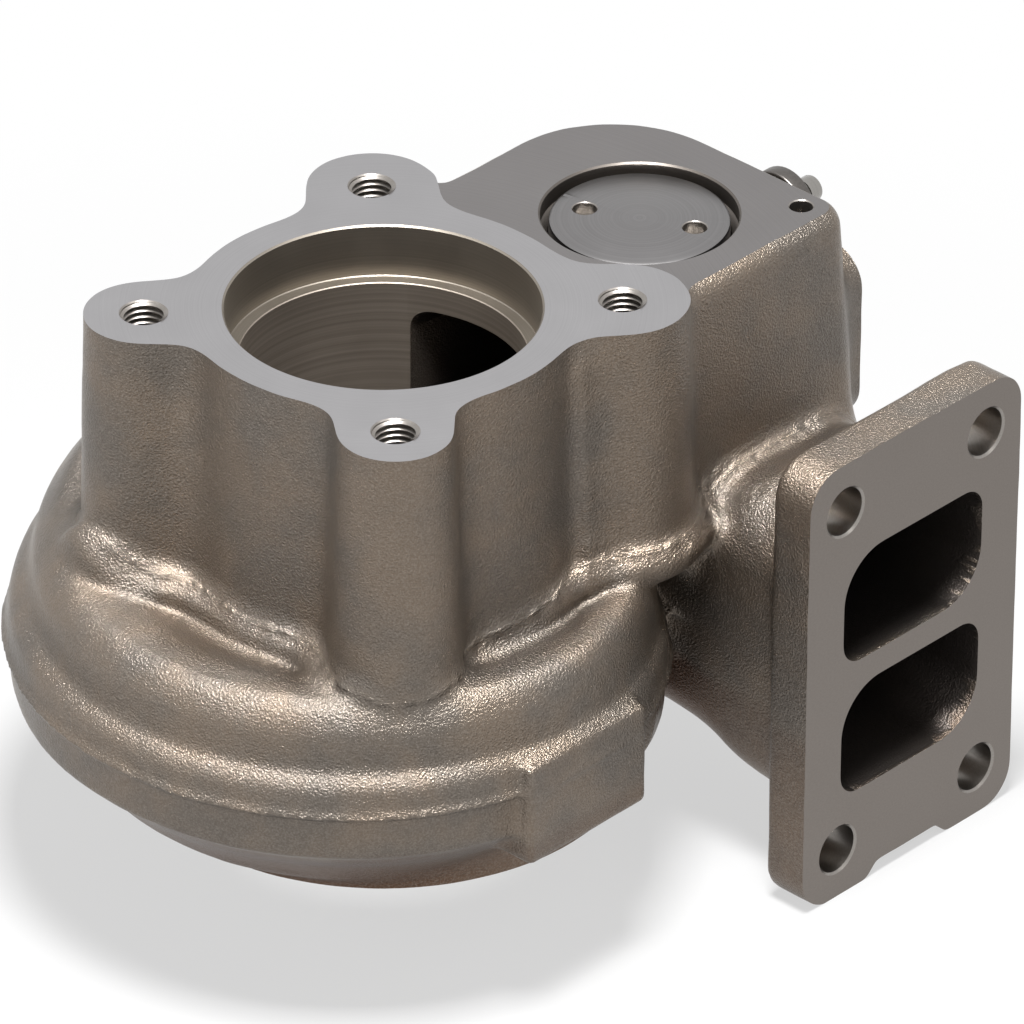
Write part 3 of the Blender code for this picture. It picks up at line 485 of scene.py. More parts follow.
def casting_tree():
    tree, (voxel,), ids = start_tree("as_cast_housing", ["Voxel"])
    field, notes = casting_field(tree)
    cube = tree.nodes.new("GeometryNodeVolumeCube")
    plug_in(tree, cube.inputs["Density"], -field)
    cube.inputs["Background"].default_value = -5.0
    cube.inputs["Min"].default_value = LOW_CORNER
    cube.inputs["Max"].default_value = HIGH_CORNER
    for axis, low, high in zip("XYZ", LOW_CORNER, HIGH_CORNER):
        plug_in(tree, cube.inputs["Resolution " + axis], (high - low) / voxel)
    skin = tree.nodes.new("GeometryNodeVolumeToMesh")
    tree.links.new(cube.outputs[0], skin.inputs["Volume"])
    skin.inputs["Threshold"].default_value = 0.0
    relaxed = tree.nodes.new("GeometryNodeBlurAttribute")
    relaxed.data_type = "FLOAT_VECTOR"
    relaxed.inputs["Iterations"].default_value = RELAX
    tree.links.new(tree.nodes.new("GeometryNodeInputPosition").outputs[0], relaxed.inputs["Value"])
    smooth = tree.nodes.new("GeometryNodeSetPosition")
    tree.links.new(skin.outputs[0], smooth.inputs["Geometry"])
    tree.links.new(relaxed.outputs[0], smooth.inputs["Position"])
    skin = smooth
    for name, value in notes.items():
        note = tree.nodes.new("GeometryNodeStoreNamedAttribute")
        note.data_type = "FLOAT"
        note.inputs["Name"].default_value = name
        tree.links.new(skin.outputs[0], note.inputs["Geometry"])
        plug_in(tree, note.inputs["Value"], value)
        skin = note
    out = tree.nodes.new("NodeGroupOutput")
    tree.links.new(skin.outputs[0], out.inputs[0])
    print("casting tree:", len(tree.nodes), "nodes")
    return tree, ids[0]


def placed(name, data):
    thing = bpy.data.objects.new(name, data)
    bpy.context.scene.collection.objects.link(thing)
    return thing


def worked_mesh(thing):
    """The mesh that a thing's modifiers make. They are removed from it."""
    seen = thing.evaluated_get(bpy.context.evaluated_depsgraph_get())
    mesh = bpy.data.meshes.new_from_object(seen)
    thing.modifiers.clear()
    return mesh


def baked(tree, settings, name):
    """The tree's result as a plain mesh object."""
    carrier = placed(name + "_carrier", bpy.data.meshes.new(name + "_carrier"))
    step = carrier.modifiers.new("nodes", "NODES")
    step.node_group = tree
    for identifier, value in settings.items():
        step[identifier] = value
    mesh = worked_mesh(carrier)
    bpy.data.objects.remove(carrier, do_unlink=True)
    return placed(name, mesh)


tree, voxel_input = casting_tree()
casting = baked(tree, {voxel_input: VOXEL}, "cast_housing")
print("as-cast skin:", len(casting.data.polygons), "faces")
casting.modifiers.new("thin_out", "DECIMATE").ratio = FACES_KEPT
casting.data = worked_mesh(casting)
print("thinned out:", len(casting.data.polygons), "faces")

# %% [markdown]
# Now the machining. On the real part a mill faces the flanges and drills and taps the holes.
# Here each tool is a closed mesh, and a Boolean takes it away. The tool carries its own
# material, and the Boolean hands that on to the faces it leaves, so that cast skin, milled
# faces and bored walls come out as different finishes without any selecting.

# %% Materials, filled in later
def new_material(name):
    material = bpy.data.materials.new(name)
    material.use_nodes = True
    return material


cast_iron = new_material("cast_iron_skin")
milled = new_material("milled_outlet_face")
rough_milled = new_material("milled_flange_face")
flange_milled = new_material("inlet_flange_face")
bored = new_material("bored_wall")
throat_wall = new_material("throat_wall")
seat_wall = new_material("plug_seat_wall")
drilled_wall = new_material("drilled_wall")

# %% Turned and flat tools
ROUND = 128


def new_object(name, bm, material=None):
    mesh = bpy.data.meshes.new(name)
    bm.to_mesh(mesh)
    bm.free()
    if material:
        mesh.materials.append(material)
    return placed(name, mesh)


def new_solid(name, bm, material):
    """A closed piece, with its faces turned outwards."""
    bmesh.ops.recalc_face_normals(bm, faces=bm.faces)
    return new_object(name, bm, material)


def turned_body(bm, profile, place=Matrix(), steps=ROUND):
    """Adds a body of revolution about Z. The profile runs down its outer side, axis to axis.

    A profile that ends where it starts makes a sleeve.
    """
    rings = []
    for radius, height in profile:
        if radius == 0:
            rings.append([bm.verts.new(place @ Vector((0, 0, height)))])
            continue
        rings.append([bm.verts.new(place @ Vector((radius * cos(2 * pi * k / steps),
                                                   radius * sin(2 * pi * k / steps), height)))
                      for k in range(steps)])
    if profile[0] == profile[-1]:
        for doubled in rings.pop():
            bm.verts.remove(doubled)
        rings.append(rings[0])
    for above, below in zip(rings, rings[1:]):
        for k in range(steps):
            after = (k + 1) % steps
            corners = [above[k % len(above)], below[k % len(below)],
                       below[after % len(below)], above[after % len(above)]]
            bm.faces.new(list(dict.fromkeys(corners)))


def slab(bm, outline, low, high, place=Matrix()):
    """Adds a flat body: an outline in XY between two heights."""
    under = [bm.verts.new(place @ Vector((x, y, low))) for x, y in outline]
    over = [bm.verts.new(place @ Vector((x, y, high))) for x, y in outline]
    bm.faces.new(list(reversed(under)))
    bm.faces.new(over)
    for k in range(len(outline)):
        after = (k + 1) % len(outline)
        bm.faces.new((under[k], under[after], over[after], over[k]))


def box(bm, low, high):
    slab(bm, [(low[0], low[1]), (high[0], low[1]), (high[0], high[1]), (low[0], high[1])],
         low[2], high[2])


def machine(body, name, bm, material, operation="DIFFERENCE"):
    """Takes a tool away from the body, or joins it, and keeps the tool's material there."""
    tool = new_solid(name, bm, material)
    step = body.modifiers.new(name, "BOOLEAN")
    step.object = tool
    step.operation = operation
    step.solver = "EXACT"
    step.material_mode = "TRANSFER"
    body.data = worked_mesh(body)
    bpy.data.objects.remove(tool, do_unlink=True)


# %% [markdown]
# Facing comes first. The outlet face, the flange's face, the boss and the bearing housing's
# face are plain planes. The block's top lies four millimetres below the outlet face, so its
# tool follows the tower's outline and leaves a step there.

# %% Mill the faces
BLOCK_REACH = 128.0
BLOCK_HALF = 70.0
STEP_CLEARANCE = 0.8


def tower_outline(angle):
    """Where the tower's outline lies at the outlet face, found by halving."""
    inner, outer = TOWER_RADIUS / 2, BOLT_CIRCLE
    while outer - inner > 0.01:
        middle = (inner + outer) / 2
        x, y = middle * cos(angle), middle * sin(angle)
        distance = middle - TOWER_RADIUS
        for ear_x, ear_y, radius in ears():
            to_ear = hypot(x - ear_x, y - ear_y) - radius
            overlap = max(EAR_BLEND - abs(distance - to_ear), 0.0)
            distance = min(distance, to_ear) - overlap * overlap * 0.25 / EAR_BLEND
        if distance < 0:
            inner = middle
        else:
            outer = middle
    return inner


def block_face_outline():
    start, end = radians(47.0), radians(129.0)
    rim = []
    for k in range(61):
        angle = start + (end - start) * k / 60
        reach = tower_outline(angle) + STEP_CLEARANCE
        rim.append((reach * cos(angle), reach * sin(angle)))
    return rim + [(-BLOCK_HALF, rim[-1][1]), (-BLOCK_HALF, BLOCK_REACH),
                  (BLOCK_HALF, BLOCK_REACH), (BLOCK_HALF, rim[0][1])]


top_face = bmesh.new()
box(top_face, (-100, -100, 0), (72, 130, 9))
flange_face = bmesh.new()
box(flange_face, (FLANGE_FACE_X, 40, -150), (FLANGE_FACE_X + 9, 125, -20))
faces = bmesh.new()
box(faces, (0, BOSS_FACE_Y, -75), (44, BOSS_FACE_Y + 9, -12))
turned_body(faces, [(0, BASE_Z), (62, BASE_Z), (62, BASE_Z - 9), (0, BASE_Z - 9)])
casting.data.materials.clear()
casting.data.materials.append(cast_iron)
machine(casting, "face_mill", top_face, milled)
machine(casting, "flange_mill", flange_face, flange_milled)
machine(casting, "boss_mill", faces, rough_milled)
step = bmesh.new()
slab(step, block_face_outline(), BLOCK_TOP_Z, 1.0)
machine(casting, "block_mill", step, rough_milled)
print("faced:", len(casting.data.polygons), "faces")

# %% [markdown]
# Then the bores. One profile holds the outlet bore, the throat, the space of the turbine wheel
# and the seat of the bearing housing, and it is turned round the axis as a boring bar would.

# %% Bore and drill
OUTLET_RADIUS = 35.0
THROAT_RADIUS = 32.0
EXDUCER_RADIUS = 28.0
PLUG_RADIUS = 20.35
PLUG_THICKNESS = 7.4
PLUG_SINK = 1.3
PLUG_RELIEF = 22.3
PLUG_RELIEF_DEPTH = 4.2
CHAMBER_MOUTH = 18.3
SEAT_GAP = 0.3
BUSH_RADIUS = 7.0
VALVE_X = 6.0
VALVE_Y = 72.5
GATE_PORT_RADIUS = 11.0
OFF_GRID = radians(0.7)    # keeps the bores' corners off the casting's own grid


def about(x, y, z, turn=Matrix()):
    return Matrix.Translation((x, y, z)) @ turn


ALONG_X = Matrix.Rotation(pi / 2, 4, "Y")
ALONG_Y = Matrix.Rotation(-pi / 2, 4, "X")


def drill(bm, radius, depth, place, rim=None):
    """Adds a drill: it enters at z = 0 of its place and has a 118 degree point."""
    profile = [(0, 2.0)]
    profile += [(rim + 2.0, 2.0), (radius, radius - rim)] if rim else [(radius, 2.0)]
    profile += [(radius, -depth), (0, -depth - radius * tan(radians(31)))]
    turned_body(bm, profile, place, 48)


bar = bmesh.new()
turned_body(bar, [
    (0, 3), (OUTLET_RADIUS + 3.4, 3), (OUTLET_RADIUS, -0.4), (OUTLET_RADIUS, -12.8),
    (OUTLET_RADIUS - 0.2, -13.0), (0, -13.0)], Matrix.Rotation(OFF_GRID, 4, "Z"))
machine(casting, "boring_bar", bar, bored)
bar = bmesh.new()
turned_body(bar, [
    (0, -12), (THROAT_RADIUS + 1.2, -12), (THROAT_RADIUS, -13.2), (THROAT_RADIUS, -48.0),
    (EXDUCER_RADIUS, -63.0), (EXDUCER_RADIUS, -70.0), (EXDUCER_RADIUS + 2, -75.0),
    (WHEEL_RADIUS, -79.0), (WHEEL_RADIUS, -104.0), (40.0, -104.0), (40.0, -112.0),
    (46.0, -112.0), (46.0, BASE_Z - 3), (0, BASE_Z - 3)], Matrix.Rotation(OFF_GRID, 4, "Z"))
machine(casting, "throat_bar", bar, throat_wall)
seat_z = BLOCK_TOP_Z - PLUG_SINK - PLUG_THICKNESS - SEAT_GAP
bar = bmesh.new()
turned_body(bar, [
    (0, BLOCK_TOP_Z + 2), (PLUG_RELIEF + 2.4, BLOCK_TOP_Z + 2), (PLUG_RELIEF, BLOCK_TOP_Z - 0.4),
    (PLUG_RELIEF, BLOCK_TOP_Z - PLUG_RELIEF_DEPTH),
    (PLUG_RADIUS + SEAT_GAP, BLOCK_TOP_Z - PLUG_RELIEF_DEPTH - 1), (PLUG_RADIUS + SEAT_GAP, seat_z),
    (CHAMBER_MOUTH, seat_z), (CHAMBER_MOUTH, CHAMBER_TOP_Z - 4), (0, CHAMBER_TOP_Z - 4)],
    about(CHAMBER_X, CHAMBER_Y, 0))
machine(casting, "seat_cutter", bar, seat_wall)

TAP_RADIUS = 5.1
TAP_RIM = 5.4
TAP_DEPTH = 22.0
FLANGE_HOLE = 5.8
BOLT_ACROSS, BOLT_UP = 23.3, 44.5
DOWEL_RADIUS = 2.65
drills = bmesh.new()
for ear_x, ear_y, radius in ears():
    drill(drills, TAP_RADIUS, TAP_DEPTH, about(ear_x, ear_y, 0), TAP_RIM)
for side in (-1, 1):
    for level in (-1, 1):
        spot = about(FLANGE_FACE_X, FLANGE_Y + side * BOLT_ACROSS, FLANGE_Z + level * BOLT_UP,
                     ALONG_X)
        drill(drills, FLANGE_HOLE, FLANGE_THICKNESS + 4, spot, FLANGE_HOLE + 0.5)
drill(drills, DOWEL_RADIUS, 12.0, about(32.2, 100.8, BLOCK_TOP_Z), DOWEL_RADIUS + 0.25)
drill(drills, GATE_PORT_RADIUS, 42.0, about(VALVE_X, VALVE_Y, CHAMBER_FLOOR_Z))
drill(drills, BUSH_RADIUS + SEAT_GAP, BOSS_FACE_Y - CHAMBER_Y,
      about(SHAFT_X, BOSS_FACE_Y, SHAFT_Z, ALONG_Y))
machine(casting, "drills", drills, drilled_wall)
print("machined:", len(casting.data.polygons), "faces,", [m.name for m in casting.data.materials])


# %% [markdown]
# The finished casting goes into the frame, in the place of its engineering node. Shading is
# smooth over the cast skin, but a milled plane has to stay flat to look cut, so its faces are
# left out of the smoothing.

# %% Bring the casting into the frame
PLANE_CORNERS = 10


def settle(thing, sharp_angle=35.0):
    """Moves a mesh from the drawing's millimetres into the frame and shades it.

    Planes stay flat: they are the faces with many corners, and all that the mill left.
    """
    mesh = thing.data
    mesh.transform(TO_FRAME)
    mesh.shade_smooth()
    mesh.set_sharp_from_angle(angle=radians(sharp_angle))
    for face in mesh.polygons:
        finish = mesh.materials[face.material_index] if mesh.materials else None
        if len(face.vertices) > PLANE_CORNERS or finish in (milled, rough_milled, flange_milled):
            face.use_smooth = False
    return thing


settle(casting, 40.0)
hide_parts("turbine_housing")
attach(casting, "housing")

# %% [markdown]
# The threads in the four ears are one V-shaped ridge that climbs the wall of each hole.
# Geometry Nodes sweeps a small triangle along a spiral curve, once for each ear.

# %% Tapped threads
PITCH = 1.5
THREAD_DEPTH = 0.85
THREAD_TURNS = 14.0


def thread_tree():
    tree, sizes, ids = start_tree("tapped_thread", ["Radius", "Pitch", "Depth", "Turns"])
    radius, pitch, depth, turns = sizes
    spiral = tree.nodes.new("GeometryNodeCurveSpiral")
    spiral.inputs["Resolution"].default_value = 40
    plug_in(tree, spiral.inputs["Rotations"], turns)
    plug_in(tree, spiral.inputs["Start Radius"], radius)
    plug_in(tree, spiral.inputs["End Radius"], radius)
    plug_in(tree, spiral.inputs["Height"], turns * pitch)
    upright = tree.nodes.new("GeometryNodeSetCurveNormal")
    upright.mode = "Z_UP"
    tree.links.new(spiral.outputs[0], upright.inputs["Curve"])
    ridge = tree.nodes.new("GeometryNodeCurvePrimitiveCircle")
    ridge.inputs["Resolution"].default_value = 3
    plug_in(tree, ridge.inputs["Radius"], depth * 0.8)
    sweep = tree.nodes.new("GeometryNodeCurveToMesh")
    sweep.inputs["Fill Caps"].default_value = True
    tree.links.new(upright.outputs[0], sweep.inputs["Curve"])
    tree.links.new(ridge.outputs[0], sweep.inputs["Profile Curve"])
    spots = tree.nodes.new("GeometryNodeJoinGeometry")
    for ear_x, ear_y, _ in ears():
        move = tree.nodes.new("GeometryNodeTransform")
        tree.links.new(sweep.outputs[0], move.inputs["Geometry"])
        foot = tree.nodes.new("ShaderNodeCombineXYZ")
        foot.inputs[0].default_value, foot.inputs[1].default_value = ear_x, ear_y
        plug_in(tree, foot.inputs[2], 0.0 - turns * pitch - 0.3)
        tree.links.new(foot.outputs[0], move.inputs["Translation"])
        tree.links.new(move.outputs[0], spots.inputs[0])
    real = tree.nodes.new("GeometryNodeRealizeInstances")
    tree.links.new(spots.outputs[0], real.inputs[0])
    paint = tree.nodes.new("GeometryNodeSetMaterial")
    paint.inputs["Material"].default_value = drilled_wall
    tree.links.new(real.outputs[0], paint.inputs["Geometry"])
    out = tree.nodes.new("NodeGroupOutput")
    tree.links.new(paint.outputs[0], out.inputs[0])
    return tree, ids


tree, ids = thread_tree()
threads = baked(tree, dict(zip(ids, (TAP_RADIUS, PITCH, THREAD_DEPTH, THREAD_TURNS))),
                "tapped_threads")
settle(threads)
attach(threads, "housing")
print("threads:", len(threads.data.polygons), "faces")

# %% [markdown]
# The small parts of the wastegate are turned, so each is a profile spun round its own axis,
# and each stands where its engineering node stands. The plug closes the chamber, and its two
# holes take a pin spanner.

# %% Plug
turned_steel = new_material("turned_plug")
gate_steel = new_material("heat_resisting_steel")
pin_steel = new_material("bright_pin")


def dress(thing, node, body):
    """Puts a finished piece in its node's place."""
    settle(thing)
    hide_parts(node)
    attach(thing, body)
    print(thing.name, "for", node, len(thing.data.polygons), "faces")


top = -PLUG_SINK
foot = top - PLUG_THICKNESS
plug_shape = bmesh.new()
turned_body(plug_shape, [
    (0, top), (PLUG_RADIUS - 0.7, top), (PLUG_RADIUS - 0.15, top - 0.3), (PLUG_RADIUS, top - 0.8),
    (PLUG_RADIUS, foot), (0, foot)], about(CHAMBER_X, CHAMBER_Y, BLOCK_TOP_Z))
plug = new_object("chamber_plug", plug_shape, turned_steel)
spanner = bmesh.new()
SPANNER_TURN = radians(25)
SPANNER_REACH = 12.9
SPANNER_RADIUS = 2.75
for side in (-SPANNER_REACH, SPANNER_REACH):
    spot = about(CHAMBER_X + side * cos(SPANNER_TURN), CHAMBER_Y + side * sin(SPANNER_TURN),
                 BLOCK_TOP_Z - PLUG_SINK)
    drill(spanner, SPANNER_RADIUS, 4.5, spot, SPANNER_RADIUS + 0.2)
machine(plug, "spanner_drill", spanner, drilled_wall)
dress(plug, "wastegate_plug", "housing")

# %% [markdown]
# The shaft runs in a pressed bush. Outside sits the lever with its grooved pin, and inside an
# arm carries the flap, which a washer holds. The flap is closed at rest.

# %% Bush, shaft and arm
SHAFT_RADIUS = 4.5
BUSH_OUTER_Y = BOSS_FACE_Y + 0.4
LEVER_INNER_Y = BUSH_OUTER_Y + SEAT_GAP
LEVER_THICKNESS = 4.0
SHAFT_OUTER_Y = LEVER_INNER_Y + LEVER_THICKNESS + 0.8
SHAFT_INNER_Y = 64.0
BUSH_INNER_Y = 92.0
VALVE_THICKNESS = 4.5
ARM_THICKNESS = 6.0
ARM_HALF = 6.5
STEM_RADIUS = 3.5
SMALL_ROUND = 72


def sleeve(bm, outer, inner, length, place, edge=0.5):
    turned_body(bm, [(inner + edge, 0), (outer - edge, 0), (outer, -edge), (outer, edge - length),
                     (outer - edge, -length), (inner, -length), (inner, -edge),
                     (inner + edge, 0)], place, SMALL_ROUND)


def on_shaft(y):
    return about(SHAFT_X, y, SHAFT_Z, ALONG_Y)


bush_shape = bmesh.new()
sleeve(bush_shape, BUSH_RADIUS, SHAFT_RADIUS + SEAT_GAP, BUSH_OUTER_Y - BUSH_INNER_Y,
       on_shaft(BUSH_OUTER_Y))
dress(new_solid("shaft_bush", bush_shape, gate_steel), "wastegate_bush", "housing")

arm_z = CHAMBER_FLOOR_Z + SEAT_GAP + VALVE_THICKNESS + SEAT_GAP + ARM_THICKNESS / 2
far, near = (VALVE_Y + side * ARM_HALF - SHAFT_OUTER_Y for side in (1, -1))
end = SHAFT_INNER_Y - SHAFT_OUTER_Y
shaft_shape = bmesh.new()
turned_body(shaft_shape, [
    (0, 0), (SHAFT_RADIUS - 0.6, 0), (SHAFT_RADIUS, -0.6), (SHAFT_RADIUS, far), (6.0, far),
    (6.0, near), (SHAFT_RADIUS, near), (SHAFT_RADIUS, end + 0.5), (SHAFT_RADIUS - 0.5, end),
    (0, end)], on_shaft(SHAFT_OUTER_Y), SMALL_ROUND)
crank = new_solid("gate_crank", shaft_shape, gate_steel)
arm = bmesh.new()
round_end = [(VALVE_X - ARM_HALF * sin(radians(k * 10)), VALVE_Y + ARM_HALF * cos(radians(k * 10)))
             for k in range(19)]
slab(arm, round_end + [(SHAFT_X, VALVE_Y - ARM_HALF), (SHAFT_X, VALVE_Y + ARM_HALF)],
     arm_z - ARM_THICKNESS / 2, arm_z + ARM_THICKNESS / 2)
machine(crank, "arm", arm, gate_steel, "UNION")
eye = bmesh.new()
drill(eye, STEM_RADIUS + SEAT_GAP, ARM_THICKNESS + 2,
      about(VALVE_X, VALVE_Y, arm_z + ARM_THICKNESS / 2))
machine(crank, "arm_eye", eye, gate_steel)
dress(crank, "wastegate_crank", "wastegate")

# %% [markdown]
# The flap is a disc with a stem. The stem goes through the arm's eye with some play, so that
# the disc can settle on its seat, and a riveted washer keeps it there.

# %% Flap and washer
flap_floor = about(VALVE_X, VALVE_Y, CHAMBER_FLOOR_Z + SEAT_GAP)
stem_top = VALVE_THICKNESS + ARM_THICKNESS + 3.5
flap_shape = bmesh.new()
turned_body(flap_shape, [
    (0, stem_top), (STEM_RADIUS - 0.5, stem_top), (STEM_RADIUS, stem_top - 0.5),
    (STEM_RADIUS, VALVE_THICKNESS), (13.0, VALVE_THICKNESS), (15.0, VALVE_THICKNESS - 1.5),
    (15.0, 0.4), (14.6, 0), (0, 0)], flap_floor, SMALL_ROUND)
dress(new_solid("gate_flap", flap_shape, gate_steel), "wastegate_valve", "wastegate")
washer_shape = bmesh.new()
sleeve(washer_shape, 6.5, STEM_RADIUS + SEAT_GAP, 2.0,
       about(VALVE_X, VALVE_Y, arm_z + ARM_THICKNESS / 2 + SEAT_GAP + 2.0), 0.3)
dress(new_solid("flap_washer", washer_shape, gate_steel), "valve_washer", "wastegate")

# %% [markdown]
# The lever is cut from plate: a hub, an eye and straight flanks between them. A bevel breaks
# its edges. Its pin has a collar against the plate and a groove for a clip.

# %% Lever and pin
PIN_X = 10.5
PIN_Z = -19.8
PIN_RADIUS = 3.2
HUB_RADIUS = 10.0
EYE_RADIUS = 8.6
along = hypot(PIN_X - SHAFT_X, PIN_Z - SHAFT_Z)
lean = atan2(HUB_RADIUS - EYE_RADIUS, sqrt(along ** 2 - (HUB_RADIUS - EYE_RADIUS) ** 2))
outline = []
for k in range(25):
    angle = pi / 2 - lean + (pi + 2 * lean) * k / 24
    outline.append((HUB_RADIUS * cos(angle), HUB_RADIUS * sin(angle)))
for k in range(21):
    angle = -pi / 2 + lean + (pi - 2 * lean) * k / 20
    outline.append((along + EYE_RADIUS * cos(angle), EYE_RADIUS * sin(angle)))
swing = atan2(PIN_Z - SHAFT_Z, PIN_X - SHAFT_X)
flat_on = about(SHAFT_X, LEVER_INNER_Y + LEVER_THICKNESS / 2, SHAFT_Z,
                Matrix.Rotation(-swing, 4, "Y") @ Matrix.Rotation(pi / 2, 4, "X"))
plate_shape = bmesh.new()
slab(plate_shape, outline, -LEVER_THICKNESS / 2, LEVER_THICKNESS / 2, flat_on)
bmesh.ops.recalc_face_normals(plate_shape, faces=plate_shape.faces)
rims = [edge for edge in plate_shape.edges if edge.calc_face_angle(0) > radians(60)]
bmesh.ops.bevel(plate_shape, geom=rims, offset=0.5, segments=3, profile=0.5, affect="EDGES")
lever = new_object("gate_lever", plate_shape, gate_steel)
eyes = bmesh.new()
for x, z, radius in ((SHAFT_X, SHAFT_Z, SHAFT_RADIUS), (PIN_X, PIN_Z, PIN_RADIUS)):
    drill(eyes, radius + SEAT_GAP, LEVER_THICKNESS + 3,
          about(x, LEVER_INNER_Y + LEVER_THICKNESS, z, ALONG_Y))
machine(lever, "lever_eyes", eyes, gate_steel)
dress(lever, "wastegate_lever", "wastegate")

shank, groove, length = LEVER_THICKNESS + SEAT_GAP, 7.75, 12.5
pin_shape = bmesh.new()
turned_body(pin_shape, [
    (0, length), (PIN_RADIUS - 0.7, length), (PIN_RADIUS - 0.2, length - 0.2),
    (PIN_RADIUS, length - 0.7), (PIN_RADIUS, groove + 1.0), (PIN_RADIUS - 0.7, groove + 0.9),
    (PIN_RADIUS - 0.7, groove + 0.1), (PIN_RADIUS, groove), (PIN_RADIUS, shank + 1.6),
    (PIN_RADIUS + 1.1, shank + 1.6), (PIN_RADIUS + 1.4, shank + 1.3), (PIN_RADIUS + 1.4, shank),
    (PIN_RADIUS, shank), (PIN_RADIUS, 0), (0, 0)], about(PIN_X, LEVER_INNER_Y, PIN_Z, ALONG_Y),
    SMALL_ROUND)
dress(new_solid("grooved_pin", pin_shape, pin_steel), "lever_pin", "wastegate")

# %% [markdown]
# Camera, floor and lamps. The picture was taken from a little above, with a long lens, over
# the ear that points at the viewer.

# %% Camera
CAMERA_TURN = radians(43.35)
CAMERA_PITCH = radians(31.89)
CAMERA_ROLL = radians(0.28)
LENS = 388.5
BORE_SEEN_AT = Vector((-28.2, 45.1, -2420.0))

right = Vector((cos(CAMERA_TURN), sin(CAMERA_TURN), 0))
ahead = Vector((-sin(CAMERA_TURN), cos(CAMERA_TURN), 0))
upwards = ahead * sin(CAMERA_PITCH) + Vector((0, 0, cos(CAMERA_PITCH)))
backwards = Vector((0, 0, sin(CAMERA_PITCH))) - ahead * cos(CAMERA_PITCH)
across = right * cos(CAMERA_ROLL) + upwards * sin(CAMERA_ROLL)
upwards = upwards * cos(CAMERA_ROLL) - right * sin(CAMERA_ROLL)
facing = Matrix((across, upwards, backwards)).transposed()
camera_data = bpy.data.cameras.new("studio_camera")
camera_data.lens = LENS
camera_data.clip_start = 0.1
camera = placed("studio_camera", camera_data)
camera.matrix_world = Matrix.Translation(TO_FRAME @ (facing @ -BORE_SEEN_AT)) @ facing.to_4x4()
bpy.context.scene.camera = camera
bpy.context.scene.view_settings.view_transform = "Standard"

# %% [markdown]
# A product picture wants a white background and a soft shadow. Turning the lamps up would wash
# the metal out, so the floor and the world show white only to the rays that look at them: from
# the camera, off metal and through glass. The lamps then light the part at a plain level.

# %% Floor, background and lamps
floor_mesh = bmesh.new()
bmesh.ops.create_grid(floor_mesh, x_segments=1, y_segments=1, size=4.0)
floor = new_object("studio_floor", floor_mesh)
middle = (Vector(cad_box[0]) + Vector(cad_box[1])) / 2
floor.location = (middle.x, middle.y, cad_box[0][2])
pale = new_material("pale_floor")
floor.data.materials.append(pale)


def lamp(name, place, aim, size, watts):
    light = bpy.data.lights.new(name, "AREA")
    light.shape = "RECTANGLE"
    light.size, light.size_y = size
    light.energy = watts
    thing = placed(name, light)
    thing.location = place
    thing.rotation_euler = (Vector(aim) - Vector(place)).to_track_quat("-Z", "Y").to_euler()


def seen_as_background(tree):
    """One for rays that show the background: from the camera, off metal and through glass."""
    Field.tree = tree
    path = tree.nodes.new("ShaderNodeLightPath")
    camera, glossy, through = (Field(path.outputs[f"Is {kind} Ray"])
                               for kind in ("Camera", "Glossy", "Transmission"))
    return higher(camera, higher(glossy, through))


nodes, links = pale.node_tree.nodes, pale.node_tree.links
matt = nodes["Principled BSDF"]
matt.inputs["Base Color"].default_value = (0.38, 0.38, 0.38, 1)
matt.inputs["Roughness"].default_value = 1.0
glow = nodes.new("ShaderNodeEmission")
both_shaders = nodes.new("ShaderNodeMixShader")
seen = seen_as_background(pale.node_tree)
across, along, _ = split_up(nodes.new("ShaderNodeTexCoord").outputs["Object"])
distance = away_from(across, along)
whiteness = mixed(0.6, 1.0, eased(distance, 0.16, 0.34))
plug_in(pale.node_tree, both_shaders.inputs[0], seen * whiteness)
links.new(matt.outputs[0], both_shaders.inputs[1])
links.new(glow.outputs[0], both_shaders.inputs[2])
links.new(both_shaders.outputs[0], nodes["Material Output"].inputs["Surface"])

UP = Vector((0, 0, 1))
lamp("overhead_softbox", middle + UP * 0.95 - ahead * 0.22, middle, (0.25, 0.25), 27.0)
lamp("left_softbox", middle - right * 0.9 - ahead * 0.4 + UP * 0.45, middle, (0.5, 0.6), 2.0)
lamp("right_softbox", middle + right * 0.7 - ahead * 0.3 + UP * 0.8, middle, (0.3, 0.3), 0.6)

world = bpy.data.worlds.new("studio")
bpy.context.scene.world = world
world.use_nodes = True
nodes, links = world.node_tree.nodes, world.node_tree.links
shade = nodes.new("ShaderNodeMix")
shade.data_type = "RGBA"
shade.inputs["A"].default_value = (0.45, 0.45, 0.45, 1)
shade.inputs["B"].default_value = (1, 1, 1, 1)
links.new(shade.outputs["Result"], nodes["Background"].inputs["Color"])
plug_in(world.node_tree, shade.inputs["Factor"], seen_as_background(world.node_tree))

# %% [markdown]
# Two finishes make the part: the sand-cast skin, blasted clean so that it sparkles in the
# light, and metal that a tool has cut. What both need more than once is a node group. The
# first gives a fine grain: a height for the bump, flecks where single grains catch the light,
# and a slow change of tone over the casting.

# %% Shader groups
def start_group(name, inputs, outputs):
    tree = bpy.data.node_groups.new(name, "ShaderNodeTree")
    tree.interface.new_socket("Vector", in_out="INPUT", socket_type="NodeSocketVector")
    for title in inputs:
        tree.interface.new_socket(title, in_out="INPUT", socket_type="NodeSocketFloat")
    for title in outputs:
        tree.interface.new_socket(title, in_out="OUTPUT", socket_type="NodeSocketFloat")
    Field.tree = tree
    return tree, tree.nodes.new("NodeGroupInput").outputs, tree.nodes.new("NodeGroupOutput").inputs


